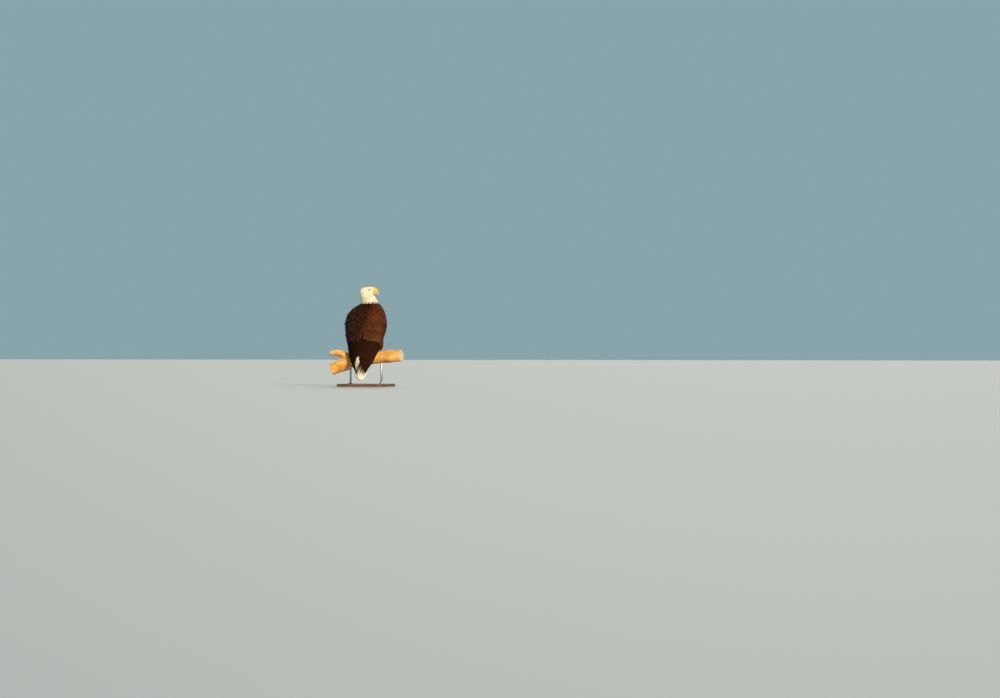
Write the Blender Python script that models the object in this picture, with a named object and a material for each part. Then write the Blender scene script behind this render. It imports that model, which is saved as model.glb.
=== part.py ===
"""A bald eagle at rest on a cut length of dead limb, held by a plain display stand.

Metres, +Z up. The origin is on the floor under the middle of the stand's base. The bird faces -Y with its
head turned far to its own right, its tail hangs behind the limb at +Y, and the limb runs along X.
"""

from math import cos, exp, pi, radians, sin, sqrt

import bmesh
import bpy
from mathutils import Matrix, Vector

# ---- driving dimensions ----
GAP = 0.0004              # between neighbouring solids
BASE_THICK = 0.022        # display stand
BASE_LONG = 0.38
BASE_WIDE = 0.32
ROD_RADIUS = 0.008
ROD_SPREAD = 0.13         # each rod from the middle
LIMB_RADIUS = 0.047       # where the feet grip it
FOOT_SPREAD = 0.062       # each foot from the middle
TOE_LIFT = 0.0012         # of the soles over the bark
TAIL_TIP = 0.055          # lowest point of the bird
TAIL_ROOT = 0.335
VENT = 0.285              # where the belly ends between the legs
BELLY = 0.41              # where it starts to close towards the vent
NECK_BASE = 0.655         # where the white neck meets the dark body
HEAD_PLACE = Vector((0.004, -0.078, 0.755))  # midway between the eyes
HEAD_TURN = radians(200)  # which way the bill points, from +X
EYE_RADIUS = 0.0112
EYE_SIDE = 0.0215         # each eye's middle from the middle of the head
BILL_START = 0.0304       # the root of the bill, forward of the eyes
BODY_SIDES = 24
SQUARENESS = 2.2          # of the body's cross-sections: 2 is an ellipse

# Down the outside of the body with its wings closed: height, lean to the left, half width, back, front.
BODY = [
    (0.660, -0.003, 0.060, -0.024, -0.135),
    (0.628, 0.000, 0.099, 0.011, -0.143),
    (0.580, 0.010, 0.140, 0.047, -0.144),
    (0.535, 0.012, 0.157, 0.061, -0.141),
    (0.480, 0.010, 0.1645, 0.074, -0.134),
    (0.400, 0.010, 0.1475, 0.091, -0.109),
    (0.320, 0.004, 0.1280, 0.105, -0.062),
    (0.250, 0.000, 0.1150, 0.118, -0.014),
    (0.170, 0.000, 0.1050, 0.134, 0.038),
    (0.070, 0.000, 0.0790, 0.150, 0.074),
]

# Each wing's inner and outer edge: height, then the turn from the middle of the back in degrees.
LEFT_EDGES = [
    (0.640, 44, 92), (0.580, 34, 116), (0.500, 22, 124), (0.420, 11, 118), (0.340, 4, 104),
    (0.280, 5, 82), (0.245, 9, 62), (0.225, 10, 53), (0.207, 16, 48), (0.187, 24, 33), (0.108, 9, 15),
]
RIGHT_EDGES = [
    (0.640, 44, 92), (0.580, 34, 116), (0.500, 22, 124), (0.420, 11, 118), (0.340, 3, 104),
    (0.280, 0, 90), (0.245, -5, 74), (0.225, -6, 70), (0.192, 3, 64), (0.150, -2, 47), (0.074, -8, 32),
]
WING_TOP = 0.600
WING_STEP = 0.205         # where the long primaries come out from under the wing
WING_THICK = 0.012
TIP_THICK = 0.005
WING_FADE = radians(9)    # over which the trunk sinks under a wing's edge


def smooth(stations, at):
    """The values at a position, on a smooth curve through the stations."""
    rows = sorted(stations)
    at = min(max(at, rows[0][0]), rows[-1][0])
    k = next(i for i in range(1, len(rows)) if at <= rows[i][0]) - 1
    before, low = rows[max(k - 1, 0)], rows[k]
    high, after = rows[k + 1], rows[min(k + 2, len(rows) - 1)]
    span = high[0] - low[0]
    t = (at - low[0]) / span
    found = []
    for i in range(1, len(low)):
        leave = span * (high[i] - before[i]) / (high[0] - before[0])
        arrive = span * (after[i] - low[i]) / (after[0] - low[0])
        found.append(
            (2 * t**3 - 3 * t**2 + 1) * low[i] + (t**3 - 2 * t**2 + t) * leave
            + (3 * t**2 - 2 * t**3) * high[i] + (t**3 - t**2) * arrive
        )
    return found


def ease(x):
    """0 to 1 with a soft start and end."""
    x = min(max(x, 0.0), 1.0)
    return x * x * (3 - 2 * x)


def bump(x, width):
    return exp(-((x / width) ** 2))


def rounded(angle, across, deep, squareness=2.0):
    """A point of a squared ellipse: x is the sine side, y the cosine side."""
    power = 2 / squareness
    s, c = sin(angle), cos(angle)
    x = across * abs(s) ** power * (1 if s >= 0 else -1)
    y = deep * abs(c) ** power * (1 if c >= 0 else -1)
    return x, y


# ---- making objects ----

def material(name, colour, roughness, metallic=0.0):
    made = bpy.data.materials.get(name)
    if made is None:
        made = bpy.data.materials.new(name)
        made.use_nodes = True
        shader = made.node_tree.nodes["Principled BSDF"]
        shader.inputs["Base Color"].default_value = (*colour, 1.0)
        shader.inputs["Roughness"].default_value = roughness
        shader.inputs["Metallic"].default_value = metallic
    return made


def finishes():
    return {
        "white": material("white_feather", (0.86, 0.82, 0.72), 0.8),
        "brown": material("brown_feather", (0.065, 0.032, 0.020), 0.75),
        "flight": material("flight_feather", (0.030, 0.018, 0.014), 0.65),
        "bill": material("bill_horn", (0.86, 0.50, 0.05), 0.35),
        "iris": material("pale_iris", (0.80, 0.68, 0.30), 0.1),
        "foot": material("foot_skin", (0.80, 0.52, 0.08), 0.55),
        "talon": material("talon_horn", (0.015, 0.014, 0.014), 0.3),
        "wood": material("dead_wood", (0.55, 0.36, 0.18), 0.8),
        "base": material("stand_wood", (0.045, 0.030, 0.022), 0.4),
        "rod": material("stand_steel", (0.45, 0.45, 0.46), 0.3, 1.0),
    }


def add_object(name, bm, finish):
    bmesh.ops.recalc_face_normals(bm, faces=bm.faces)
    mesh = bpy.data.meshes.new(name)
    bm.to_mesh(mesh)
    bm.free()
    mesh.materials.append(finish)
    mesh.shade_smooth()
    mesh.set_sharp_from_angle(angle=radians(50))
    made = bpy.data.objects.new(name, mesh)
    bpy.context.scene.collection.objects.link(made)
    return made


def patch(bm, a, b, c, d):
    """Four corners as two triangles, parted the same way in a piece and in its cutter."""
    bm.faces.new((a, b, c))
    bm.faces.new((a, c, d))


def loft(name, rings, finish):
    """A closed solid through rings of points, each end capped."""
    bm = bmesh.new()
    loops = [[bm.verts.new(point) for point in ring] for ring in rings]
    count = len(rings[0])
    for ring, following in zip(loops, loops[1:]):
        for i in range(count):
            j = (i + 1) % count
            patch(bm, ring[i], ring[j], following[j], following[i])
    bm.faces.new(loops[0])
    bm.faces.new(loops[-1][::-1])
    return add_object(name, bm, finish)


def shell(name, outside, inside, finish):
    """A closed blade between two grids of points with the same rows and columns."""
    bm = bmesh.new()
    outer = [[bm.verts.new(p) for p in row] for row in outside]
    inner = [[bm.verts.new(p) for p in row] for row in inside]
    rows, columns = len(outer), len(outer[0])
    for i in range(rows - 1):
        for j in range(columns - 1):
            patch(bm, outer[i][j], outer[i][j + 1], outer[i + 1][j + 1], outer[i + 1][j])
            patch(bm, inner[i][j], inner[i + 1][j], inner[i + 1][j + 1], inner[i][j + 1])
    for i in range(rows - 1):
        for j in (0, columns - 1):
            patch(bm, outer[i][j], outer[i + 1][j], inner[i + 1][j], inner[i][j])
    for j in range(columns - 1):
        for i in (0, rows - 1):
            patch(bm, outer[i][j], outer[i][j + 1], inner[i][j + 1], inner[i][j])
    return add_object(name, bm, finish)


def tube(name, path, radii, sides, finish):
    """A round solid along a path, with a radius for each point."""
    rings = []
    ahead = (path[1] - path[0]).normalized()
    side = ahead.orthogonal().normalized()
    for k, point in enumerate(path):
        toward = (path[min(k + 1, len(path) - 1)] - path[max(k - 1, 0)]).normalized()
        side = (side - toward * side.dot(toward)).normalized()
        other = toward.cross(side)
        ring = []
        for i in range(sides):
            angle = 2 * pi * i / sides
            ring.append(point + (side * cos(angle) + other * sin(angle)) * radii[k])
        rings.append(ring)
    return loft(name, rings, finish)


def as_cutter(made):
    made.hide_render = True
    made.display_type = "WIRE"
    return made


def boolean(made, other, operation):
    step = made.modifiers.new(operation.lower(), "BOOLEAN")
    step.operation = operation
    step.object = as_cutter(other)


def cut(made, *cutters):
    for cutter in cutters:
        boolean(made, cutter, "DIFFERENCE")


def join(made, *others):
    for other in others:
        boolean(made, other, "UNION")


# ---- trunk, wings and tail ----

def body_point(height, turn, inset=0.0):
    """On the body's outer form. The turn is from the middle of the back towards the bird's left (+X)."""
    lean, half, back, front = smooth(BODY, height)
    x, y = rounded(turn, half - inset, (back - front) / 2 - inset, SQUARENESS)
    return Vector((lean + x, (back + front) / 2 + y, height))


def wing_edges(side, height):
    """The wing's inner and outer edge as turns, positive on its own side."""
    inner, outer = smooth(LEFT_EDGES if side > 0 else RIGHT_EDGES, height)
    return radians(inner), radians(outer)


def under_wing(height, turn):
    """1 where a closed wing lies over the trunk, falling to 0 past its edges."""
    side = 1 if turn >= 0 else -1
    inner, outer = wing_edges(side, height)
    on = ease((abs(turn) - inner) / WING_FADE) * ease((outer - abs(turn)) / WING_FADE)
    return on * ease((WING_TOP + 0.03 - height) / 0.03)


def build_trunk(name, finish, grow=0.0):
    """The dark body under the wings. Its belly closes in a rounded end between the legs."""
    rings = []
    levels = 13
    lowest = VENT + 0.004
    for k in range(levels + 1):
        height = NECK_BASE + (lowest - NECK_BASE) * k / levels
        close = sqrt(1 - max(0.0, (BELLY - height) / (BELLY - VENT)) ** 2)
        lean, half, back, front = smooth(BODY, height)
        pull = Vector((0, back - 0.035 - (back + front) / 2, 0)) * (1 - close)
        centre = Vector((lean, (back + front) / 2, height))
        ring = []
        for i in range(BODY_SIDES):
            turn = 2 * pi * i / BODY_SIDES
            turn = turn if turn <= pi else turn - 2 * pi
            inset = WING_THICK * under_wing(height, turn) - grow
            spot = centre + pull + (body_point(height, turn, inset) - centre) * close
            ring.append(spot)
        rings.append(ring)
    rings[0] = [p + Vector((0, 0, grow)) for p in rings[0]]
    rings[-1] = [p - Vector((0, 0, grow)) for p in rings[-1]]
    return loft(name, rings, finish)


def wing_tip_height(side, across):
    """How far down the wing's tip reaches: three parted fingers on the right wing, one on the left."""
    if side > 0:
        return 0.108 + 0.018 * (2 * across - 1) ** 2
    fingers, notch = 3, 0.023
    lowest = 0.106 - 0.032 * across
    within = (across * fingers) % 1.0
    at_side = across in (0, 1)
    return lowest + notch * (2 * abs(within - 0.5)) ** 1.5 * (0.6 if at_side else 1)


def wing_top_height(across):
    return WING_TOP + 0.034 * sin(pi * across)


def build_wing(name, side, tip, finish):
    """One closed wing on the body's outer form: the arm and its secondaries, or the primaries below them."""
    rows, columns = (4, 12) if tip else (12, 7)
    outside, inside = [], []
    for i in range(rows + 1):
        outer_row, inner_row = [], []
        for j in range(columns + 1):
            across = j / columns
            if tip:
                start, end = WING_STEP - GAP, wing_tip_height(side, across)
            else:
                start, end = wing_top_height(across), WING_STEP
            height = start + (end - start) * i / rows
            inner, outer = wing_edges(side, height)
            turn = side * (inner + (outer - inner) * across)
            swell = 4 * across * (1 - across)
            low = ease((0.34 - height) / 0.2)
            thick = (WING_THICK * (1 - low) + TIP_THICK * low) * (0.45 + 0.55 * swell)
            lift = 0.005 * swell * (1 - low)
            outer_row.append(body_point(height, turn, -lift))
            inner_row.append(body_point(height, turn, thick))
        outside.append(outer_row)
        inside.append(inner_row)
    return shell(name, outside, inside, finish)


def tail_point(height, across, deep):
    """On the folded tail: across is -1 to 1, deep is 0 on its upper side and 1 beneath."""
    down = (TAIL_ROOT - height) / (TAIL_ROOT - TAIL_TIP)
    back = smooth(BODY, height)[2]
    half = 0.034 + 0.015 * ease(down * 1.6)
    thick = 0.030 - 0.024 * ease(down * 1.3)
    crown = 0.007 * across**2
    x = half * across - 0.010 * down**2
    y = back - 0.0105 - crown - thick * deep * (1 - 0.5 * across**2)
    return Vector((x, y, height))


def build_tail(name, finish):
    rows, columns = 8, 8
    outside, inside = [], []
    for i in range(rows + 1):
        outer_row, inner_row = [], []
        for j in range(columns + 1):
            across = 2 * j / columns - 1
            lowest = TAIL_TIP + 0.020 * abs(across) ** 2.2
            height = TAIL_ROOT + (lowest - TAIL_ROOT) * i / rows
            outer_row.append(tail_point(height, across, 0))
            inner_row.append(tail_point(height, across, 1))
        outside.append(outer_row)
        inside.append(inner_row)
    return shell(name, outside, inside, finish)


# ---- neck and head ----

# Along the head from nape to bill: place from the eyes, crown, throat, half width.
HEAD = [
    (-0.0725, -0.008, -0.034, 0.012),
    (-0.069, 0.004, -0.048, 0.023),
    (-0.055, 0.0150, -0.060, 0.0325),
    (-0.030, 0.0215, -0.060, 0.0370),
    (-0.008, 0.0245, -0.052, 0.0350),
    (0.010, 0.0250, -0.042, 0.0285),
    (0.022, 0.0232, -0.034, 0.0205),
    (0.030, 0.0215, -0.0290, 0.0150),
]
# Down the upper bill: share of the way, its ridge forward of and above the eyes, its edge, half width.
BILL = [
    (0.00, BILL_START, 0.0205, BILL_START, -0.0150, 0.0155),
    (0.17, 0.0430, 0.0180, 0.0385, -0.0152, 0.0146),
    (0.38, 0.0570, 0.0090, 0.0470, -0.0165, 0.0126),
    (0.58, 0.0675, -0.0050, 0.0540, -0.0195, 0.0100),
    (0.78, 0.0728, -0.0215, 0.0612, -0.0270, 0.0066),
    (0.93, 0.0722, -0.0345, 0.0664, -0.0365, 0.0034),
    (1.00, 0.0706, -0.0415, 0.0688, -0.0412, 0.0012),
]


def head_to_world(point):
    return HEAD_PLACE + Matrix.Rotation(HEAD_TURN, 3, "Z") @ Vector(point)


def head_point(along, angle, grow=0.0):
    """On the feathered head. The brow stands out over a shallow socket for the eye."""
    crown, throat, half = smooth(HEAD, along)
    middle, deep = (crown + throat) / 2, (crown - throat) / 2
    y, z = rounded(angle, half, deep, 2.25)
    up = middle + z
    brow = 0.0030 * bump(along - 0.008, 0.013) * bump(up - 0.0125, 0.0055)
    socket = 0.0045 * bump(along - 0.005, 0.014) * bump(up + 0.001, 0.009)
    side = 1 if y >= 0 else -1
    y += side * (brow - socket) * ease(abs(y) / 0.012)
    away = Vector((0, y, z)).normalized() * grow
    return Vector((along, y, up)) + away


def build_head(name, finish, grow=0.0):
    sides, levels = 24, 14
    first, last = HEAD[0][0], HEAD[-1][0]
    rings = []
    for k in range(levels + 1):
        share = k / levels
        along = first + (last - first) * (0.5 - 0.5 * cos(pi * share)) ** 0.9
        ring = []
        for i in range(sides):
            point = head_point(along, 2 * pi * i / sides, grow)
            point.x += grow * (2 * share - 1)
            ring.append(head_to_world(point))
        rings.append(ring)
    return loft(name, rings, finish)


def build_eye(name, side, finish, grow=0.0):
    bm = bmesh.new()
    bmesh.ops.create_icosphere(bm, subdivisions=2, radius=EYE_RADIUS + grow)
    place = head_to_world((0.001, side * EYE_SIDE, 0.0))
    bmesh.ops.translate(bm, verts=bm.verts, vec=place)
    return add_object(name, bm, finish)


def bill_ring(share, grow=0.0):
    """A cross-section of the upper bill, from its ridge to its cutting edge."""
    ridge_x, ridge_z, edge_x, edge_z, half = smooth(BILL, share)
    ridge, edge = Vector((ridge_x, 0, ridge_z)), Vector((edge_x, 0, edge_z))
    outward = (ridge - edge).normalized()
    deep = (ridge - edge).length / 2 + grow
    middle = (ridge + edge) / 2
    if share == 0:
        middle.x -= 4 * grow
    sides = 14
    ring = []
    for i in range(sides):
        y, up = rounded(2 * pi * i / sides, half + grow, deep, 2.1)
        y *= 1 - 0.3 * max(up, 0) / deep  # the ridge is narrower than the cutting edge
        ring.append(head_to_world(middle + outward * up + Vector((0, y, 0))))
    return ring


def build_upper_bill(name, finish, grow=0.0):
    levels = 14
    return loft(name, [bill_ring(k / levels, grow) for k in range(levels + 1)], finish)


def build_lower_bill(name, finish):
    """The lower mandible, closed against the upper one and shorter than it."""
    rings = []
    levels = 8
    for k in range(levels + 1):
        share = k / levels
        along = BILL_START + 0.0285 * share
        half = 0.0128 * sqrt(1 - 0.90 * share**2.6)
        floor = -0.0288 - 0.0045 * share + 0.0060 * share**5
        roof = -0.0080 - 0.0130 * share
        ring = []
        for i in range(12):
            y, z = rounded(2 * pi * i / 12, half, (roof - floor) / 2, 2.3)
            ring.append(head_to_world((along, y, (roof + floor) / 2 + z)))
        rings.append(ring)
    return loft(name, rings, finish)


def build_neck(name, finish):
    """The white neck, rising from the body's top into the underside of the turned head."""
    lean, half, back, front = smooth(BODY, NECK_BASE)
    stations = [
        (NECK_BASE + GAP, lean, (back + front) / 2, half, (back - front) / 2),
        (0.680, 0.0080, -0.0765, 0.0600, 0.0570),
        (0.700, 0.0153, -0.0739, 0.0570, 0.0550),
        (0.717, 0.0225, -0.0713, 0.0500, 0.0490),
        (0.735, 0.0300, -0.0690, 0.0360, 0.0360),
    ]
    levels, sides = 6, BODY_SIDES
    rings = []
    for k in range(levels + 1):
        height = stations[0][0] + (stations[-1][0] - stations[0][0]) * k / levels
        x0, y0, across, deep = smooth(stations, height)
        ring = []
        for i in range(sides):
            x, y = rounded(2 * pi * i / sides, across, deep, SQUARENESS)
            ring.append(Vector((x0 + x, y0 + y, height)))
        rings.append(ring)
    return loft(name, rings, finish)


# ---- legs and feet ----

def build_leg(name, side, finish, grow=0.0):
    """A feathered thigh, ending in a skirt of feathers just over the limb. The left one reaches lower."""
    drop = 0.010 if side > 0 else 0.0
    stations = [
        (0.282 - drop, 0.079, -0.040, 0.027, 0.031),
        (0.292 - drop, 0.080, -0.042, 0.037, 0.041),
        (0.320 - drop, 0.079, -0.046, 0.042, 0.049),
        (0.370, 0.074, -0.055, 0.043, 0.055),
        (0.430, 0.066, -0.058, 0.038, 0.050),
        (0.480, 0.056, -0.054, 0.022, 0.034),
    ]
    levels, sides = 8, 14
    rings = []
    for k in range(levels + 1):
        height = stations[0][0] + (stations[-1][0] - stations[0][0]) * k / levels
        x0, y0, across, deep = smooth(stations, height)
        lift = grow * (1 if k == levels else -1 if k == 0 else 0)
        ring = []
        for i in range(sides):
            x, y = rounded(2 * pi * i / sides, across + grow, deep + grow, 2.1)
            ring.append(Vector((side * x0 + x, y0 + y, height + lift)))
        rings.append(ring)
    return loft(name, rings, finish)


# Each toe: name, splay in degrees, way round the limb (1 to the front), toe length, claw length, radius.
TOES = [
    ("inner", -31, 1, 0.054, 0.040, 0.0098),
    ("middle", -1, 1, 0.076, 0.037, 0.0094),
    ("outer", 30, 1, 0.060, 0.034, 0.0088),
    ("hind", 6, -1, 0.040, 0.044, 0.0105),
]


def toe_place(side, splay, way, reach, radius):
    """The middle of a toe, this far along it from the top of the limb."""
    around = LIMB_RADIUS + TOE_LIFT + radius
    forward = reach * cos(radians(splay))
    x = side * (FOOT_SPREAD + reach * sin(radians(splay)))
    angle = way * (forward / (LIMB_RADIUS + 0.006))
    middle, _ = limb_middle(x)
    return middle + Vector((0, -around * sin(angle), around * cos(angle)))


def build_toe(name, side, splay, way, length, radius, finish):
    """A toe with a pad under each joint and a rounded end."""
    levels = 5
    path, radii = [], []
    for k in range(levels + 1):
        share = k / levels
        swell = 1 + 0.10 * cos(2 * pi * (share * 2.5 - 0.5))
        size = radius * (1 - 0.18 * share) * swell * (0.84 if k == levels else 1)
        path.append(toe_place(side, splay, way, -0.006 + share * (length + 0.008), size))
        radii.append(size)
    return tube(name, path, radii, 8, finish)


def build_talon(name, side, splay, way, start, length, radius, finish, grow=0.0):
    """A claw, rooted in its toe, arched off the bark and running down to a point beside it."""
    levels = 5
    path, radii = [], []
    for k in range(levels + 1):
        share = k / levels
        size = 0.58 * radius * (1 - share) ** 0.7 + 0.0007
        arch = 0.0050 * sin(pi * share)
        path.append(toe_place(side, splay, way, start - 0.004 + share * length, size + arch))
        radii.append(size + grow)
    if grow:
        path[0] -= (path[1] - path[0]).normalized() * grow
    return tube(name, path, radii, 6, finish)


def build_foot(name, side, finish):
    """The bare shank and its four toes, made one."""
    sole = toe_place(side, 0, 1, 0, 0.010)
    shank = [
        sole + Vector((0, 0, -0.004)),
        sole + Vector((0, -0.002, 0.008)),
        sole + Vector((side * 0.003, -0.012, 0.026)),
        sole + Vector((side * 0.006, -0.024, 0.050)),
    ]
    foot = tube(name, shank, [0.0140, 0.0130, 0.0118, 0.0125], 8, finish)
    for toe, splay, way, length, _, radius in TOES:
        join(foot, build_toe(f"{name}_{toe}_toe", side, splay, way, length, radius, finish))
    return foot


# ---- perch and stand ----

# Along the limb: x, height of its middle, distance behind, radius.
LIMB = [
    (-0.300, 0.2420, 0.008, 0.048),
    (-0.210, 0.2345, 0.003, 0.049),
    (-0.115, 0.2285, 0.000, LIMB_RADIUS),
    (0.000, 0.2140, 0.000, LIMB_RADIUS),
    (0.115, 0.1975, 0.000, LIMB_RADIUS),
    (0.180, 0.1760, 0.000, 0.052),
    (0.230, 0.1560, 0.003, 0.050),
    (0.285, 0.1340, 0.008, 0.046),
]


def limb_middle(x):
    height, behind, radius = smooth(LIMB, x)
    return Vector((x, behind, height)), radius


def build_limb(name, finish, grow=0.0):
    """The cut limb: even where the feet hold it, knotty towards its ends."""
    levels, sides = 15, 12
    first, last = LIMB[0][0], LIMB[-1][0]
    rings = []
    for k in range(levels + 1):
        x = first + (last - first) * k / levels
        middle, radius = limb_middle(x)
        ahead, _ = limb_middle(min(x + 0.004, last))
        behind, _ = limb_middle(max(x - 0.004, first))
        along = (ahead - behind).normalized()
        across = Vector((0, 1, 0))
        up = along.cross(across).normalized() * -1
        rough = ease((abs(x) - 0.118) / 0.05)
        ring = []
        for i in range(sides):
            angle = 2 * pi * i / sides
            knots = 0.05 * sin(3 * angle + 21 * x) + 0.04 * sin(2 * angle - 37 * x + 1)
            size = radius * (1 + rough * knots) + grow
            ring.append(middle + (up * cos(angle) + across * sin(angle)) * size)
        rings.append(ring)
    return loft(name, rings, finish)


def build_stub(name, finish):
    """The broken stub of a side branch, leaving the limb beside the bird's left foot."""
    path = [
        Vector((0.160, 0.004, 0.236)), Vector((0.195, 0.010, 0.254)),
        Vector((0.235, 0.018, 0.262)), Vector((0.275, 0.026, 0.262)), Vector((0.300, 0.030, 0.266)),
    ]
    points, radii = [], []
    stations = [(k, *p, r) for k, (p, r) in enumerate(zip(path, (0.034, 0.029, 0.023, 0.019, 0.015)))]
    for k in range(9):
        x, y, z, radius = smooth(stations, k / 2)
        points.append(Vector((x, y, z)))
        radii.append(radius)
    return tube(name, points, radii, 10, finish)


def build_base(name, finish):
    bm = bmesh.new()
    bmesh.ops.create_cube(bm, size=1.0)
    bmesh.ops.scale(bm, verts=bm.verts, vec=(BASE_LONG, BASE_WIDE, BASE_THICK))
    bmesh.ops.translate(bm, verts=bm.verts, vec=(0, 0, BASE_THICK / 2))
    upright = [e for e in bm.edges if abs((e.verts[0].co - e.verts[1].co).normalized().z) > 0.9]
    bmesh.ops.bevel(bm, geom=upright, offset=0.030, segments=5, affect="EDGES", profile=0.5)
    rim = [
        e for e in bm.edges
        if all(abs(v.co.z - BASE_THICK) < 1e-6 for v in e.verts) and len(e.link_faces) == 2
    ]
    bmesh.ops.bevel(bm, geom=rim, offset=0.004, segments=2, affect="EDGES", profile=0.5)
    return add_object(name, bm, finish)


def build_rod(name, x, finish):
    middle, _ = limb_middle(x)
    path = [Vector((x, middle.y, BASE_THICK + GAP)), Vector((x, middle.y, middle.z))]
    return tube(name, path, [ROD_RADIUS, ROD_RADIUS], 16, finish)


def build_eagle(finish):
    trunk_cutter = build_trunk("trunk_cutter", finish["brown"], grow=GAP)
    head_cutter = build_head("head_cutter", finish["white"], grow=GAP)
    head = build_head("head", finish["white"])
    for side, hand in ((1, "left"), (-1, "right")):
        build_eye(f"eye_{hand}", side, finish["iris"])
        cut(head, build_eye(f"eye_cutter_{hand}", side, finish["iris"], grow=GAP))
    build_upper_bill("bill_upper", finish["bill"])
    lower = build_lower_bill("bill_lower", finish["bill"])
    cut(lower, build_upper_bill("bill_cutter", finish["bill"], grow=GAP))
    cut(build_neck("neck", finish["white"]), head_cutter)
    build_trunk("trunk", finish["brown"])
    cut(build_tail("tail", finish["white"]), trunk_cutter)
    for side, hand in ((1, "left"), (-1, "right")):
        cut(build_wing(f"wing_{hand}", side, False, finish["brown"]), trunk_cutter)
        cut(build_wing(f"primaries_{hand}", side, True, finish["flight"]), trunk_cutter)
        cut(build_leg(f"leg_{hand}", side, finish["brown"]), trunk_cutter)
        foot = build_foot(f"foot_{hand}", side, finish["foot"])
        cut(foot, build_leg(f"leg_cutter_{hand}", side, finish["brown"], grow=GAP))
        for toe, splay, way, length, claw, radius in TOES:
            sizes = (side, splay, way, length, claw, radius, finish["talon"])
            build_talon(f"talon_{hand}_{toe}", *sizes)
            cut(foot, build_talon(f"talon_cutter_{hand}_{toe}", *sizes, grow=GAP))


def build_perch(finish):
    limb_cutter = build_limb("limb_cutter", finish["wood"], grow=GAP)
    build_limb("perch_limb", finish["wood"])
    cut(build_stub("perch_stub", finish["wood"]), limb_cutter)
    build_base("stand_base", finish["base"])
    for name, x in (("stand_rod_left", ROD_SPREAD), ("stand_rod_right", -ROD_SPREAD)):
        cut(build_rod(name, x, finish["rod"]), limb_cutter)


def main():
    for old in list(bpy.data.objects):
        bpy.data.objects.remove(old)
    finish = finishes()
    build_eagle(finish)
    build_perch(finish)


main()
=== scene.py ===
import math

import bpy
import numpy as np
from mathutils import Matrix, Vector
from mathutils.bvhtree import BVHTree


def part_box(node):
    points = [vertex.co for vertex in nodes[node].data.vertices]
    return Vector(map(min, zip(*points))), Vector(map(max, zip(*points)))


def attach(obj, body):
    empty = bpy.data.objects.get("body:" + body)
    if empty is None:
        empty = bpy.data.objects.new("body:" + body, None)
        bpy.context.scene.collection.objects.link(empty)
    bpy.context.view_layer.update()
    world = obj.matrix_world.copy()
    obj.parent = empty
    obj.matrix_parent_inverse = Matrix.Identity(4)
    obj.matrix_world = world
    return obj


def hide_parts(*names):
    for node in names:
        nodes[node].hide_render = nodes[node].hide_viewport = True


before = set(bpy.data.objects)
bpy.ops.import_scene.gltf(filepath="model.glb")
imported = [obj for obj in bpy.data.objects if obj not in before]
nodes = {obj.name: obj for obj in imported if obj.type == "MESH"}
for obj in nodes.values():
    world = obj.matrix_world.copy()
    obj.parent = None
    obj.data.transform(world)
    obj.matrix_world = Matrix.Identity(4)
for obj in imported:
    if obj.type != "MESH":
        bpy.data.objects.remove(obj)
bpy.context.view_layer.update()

print("frame loaded:", len(nodes), "nodes")

# ---- small tools ----


def onlyThis(piece):
    for other in list(bpy.context.selected_objects):
        other.select_set(False)
    piece.select_set(True)
    bpy.context.view_layer.objects.active = piece


def applied(piece, kind, **settings):
    onlyThis(piece)
    modifier = piece.modifiers.new("finish", kind)
    for key, value in settings.items():
        setattr(modifier, key, value)
    bpy.ops.object.modifier_apply(modifier=modifier.name)


def newObject(name, mesh):
    piece = bpy.data.objects.new(name, mesh)
    bpy.context.scene.collection.objects.link(piece)
    return piece


# one merged mesh from copies of CAD nodes, whose own meshes are loose triangles
def mergedCopy(name, *nodeNames):
    parts = [newObject(name, nodes[n].data.copy()) for n in nodeNames]
    onlyThis(parts[0])
    for part in parts:
        part.select_set(True)
    if len(parts) > 1:
        bpy.ops.object.join()
    merged = parts[0]
    merged.name = name
    merged.data.materials.clear()
    onlyThis(merged)
    bpy.ops.object.mode_set(mode="EDIT")
    bpy.ops.mesh.select_all(action="SELECT")
    bpy.ops.mesh.remove_doubles(threshold=1e-6)
    bpy.ops.object.mode_set(mode="OBJECT")
    return merged


def delete(piece):
    mesh = piece.data
    bpy.data.objects.remove(piece)
    bpy.data.meshes.remove(mesh)


def unit(vectors):
    size = np.linalg.norm(vectors, axis=-1, keepdims=True)
    return vectors / np.maximum(size, 1e-12)


def ease(x):
    x = np.clip(x, 0.0, 1.0)
    return x * x * (3 - 2 * x)


# cosines and sines once round
def roundTurns(sides):
    turn = np.linspace(0, 2 * math.pi, sides, endpoint=False)
    return np.cos(turn), np.sin(turn)


# places between a path's points, which lie at the marks
def between(marks, path, at):
    return np.stack([np.interp(at, marks, path[:, axis]) for axis in range(3)], -1)


def points(mesh):
    flat = np.empty(len(mesh.vertices) * 3)
    mesh.vertices.foreach_get("co", flat)
    return flat.reshape(-1, 3)


def movePoints(piece, spots):
    piece.data.vertices.foreach_set("co", spots.ravel())


def pointNormals(piece):
    return np.array([v.normal[:] for v in piece.data.vertices])


def paint(piece, name, values):   # a value at each point, for its look
    piece.data.attributes.new(name, "FLOAT", "POINT").data.foreach_set("value", values)


def finished(piece, look, slotName, *replacedNodes):
    piece.data.materials.clear()
    piece.data.materials.append(look)
    for face in piece.data.polygons:
        face.use_smooth = True
    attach(piece, "root")
    if replacedNodes:
        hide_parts(*replacedNodes)


# ---- floor, light and camera ----

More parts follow.
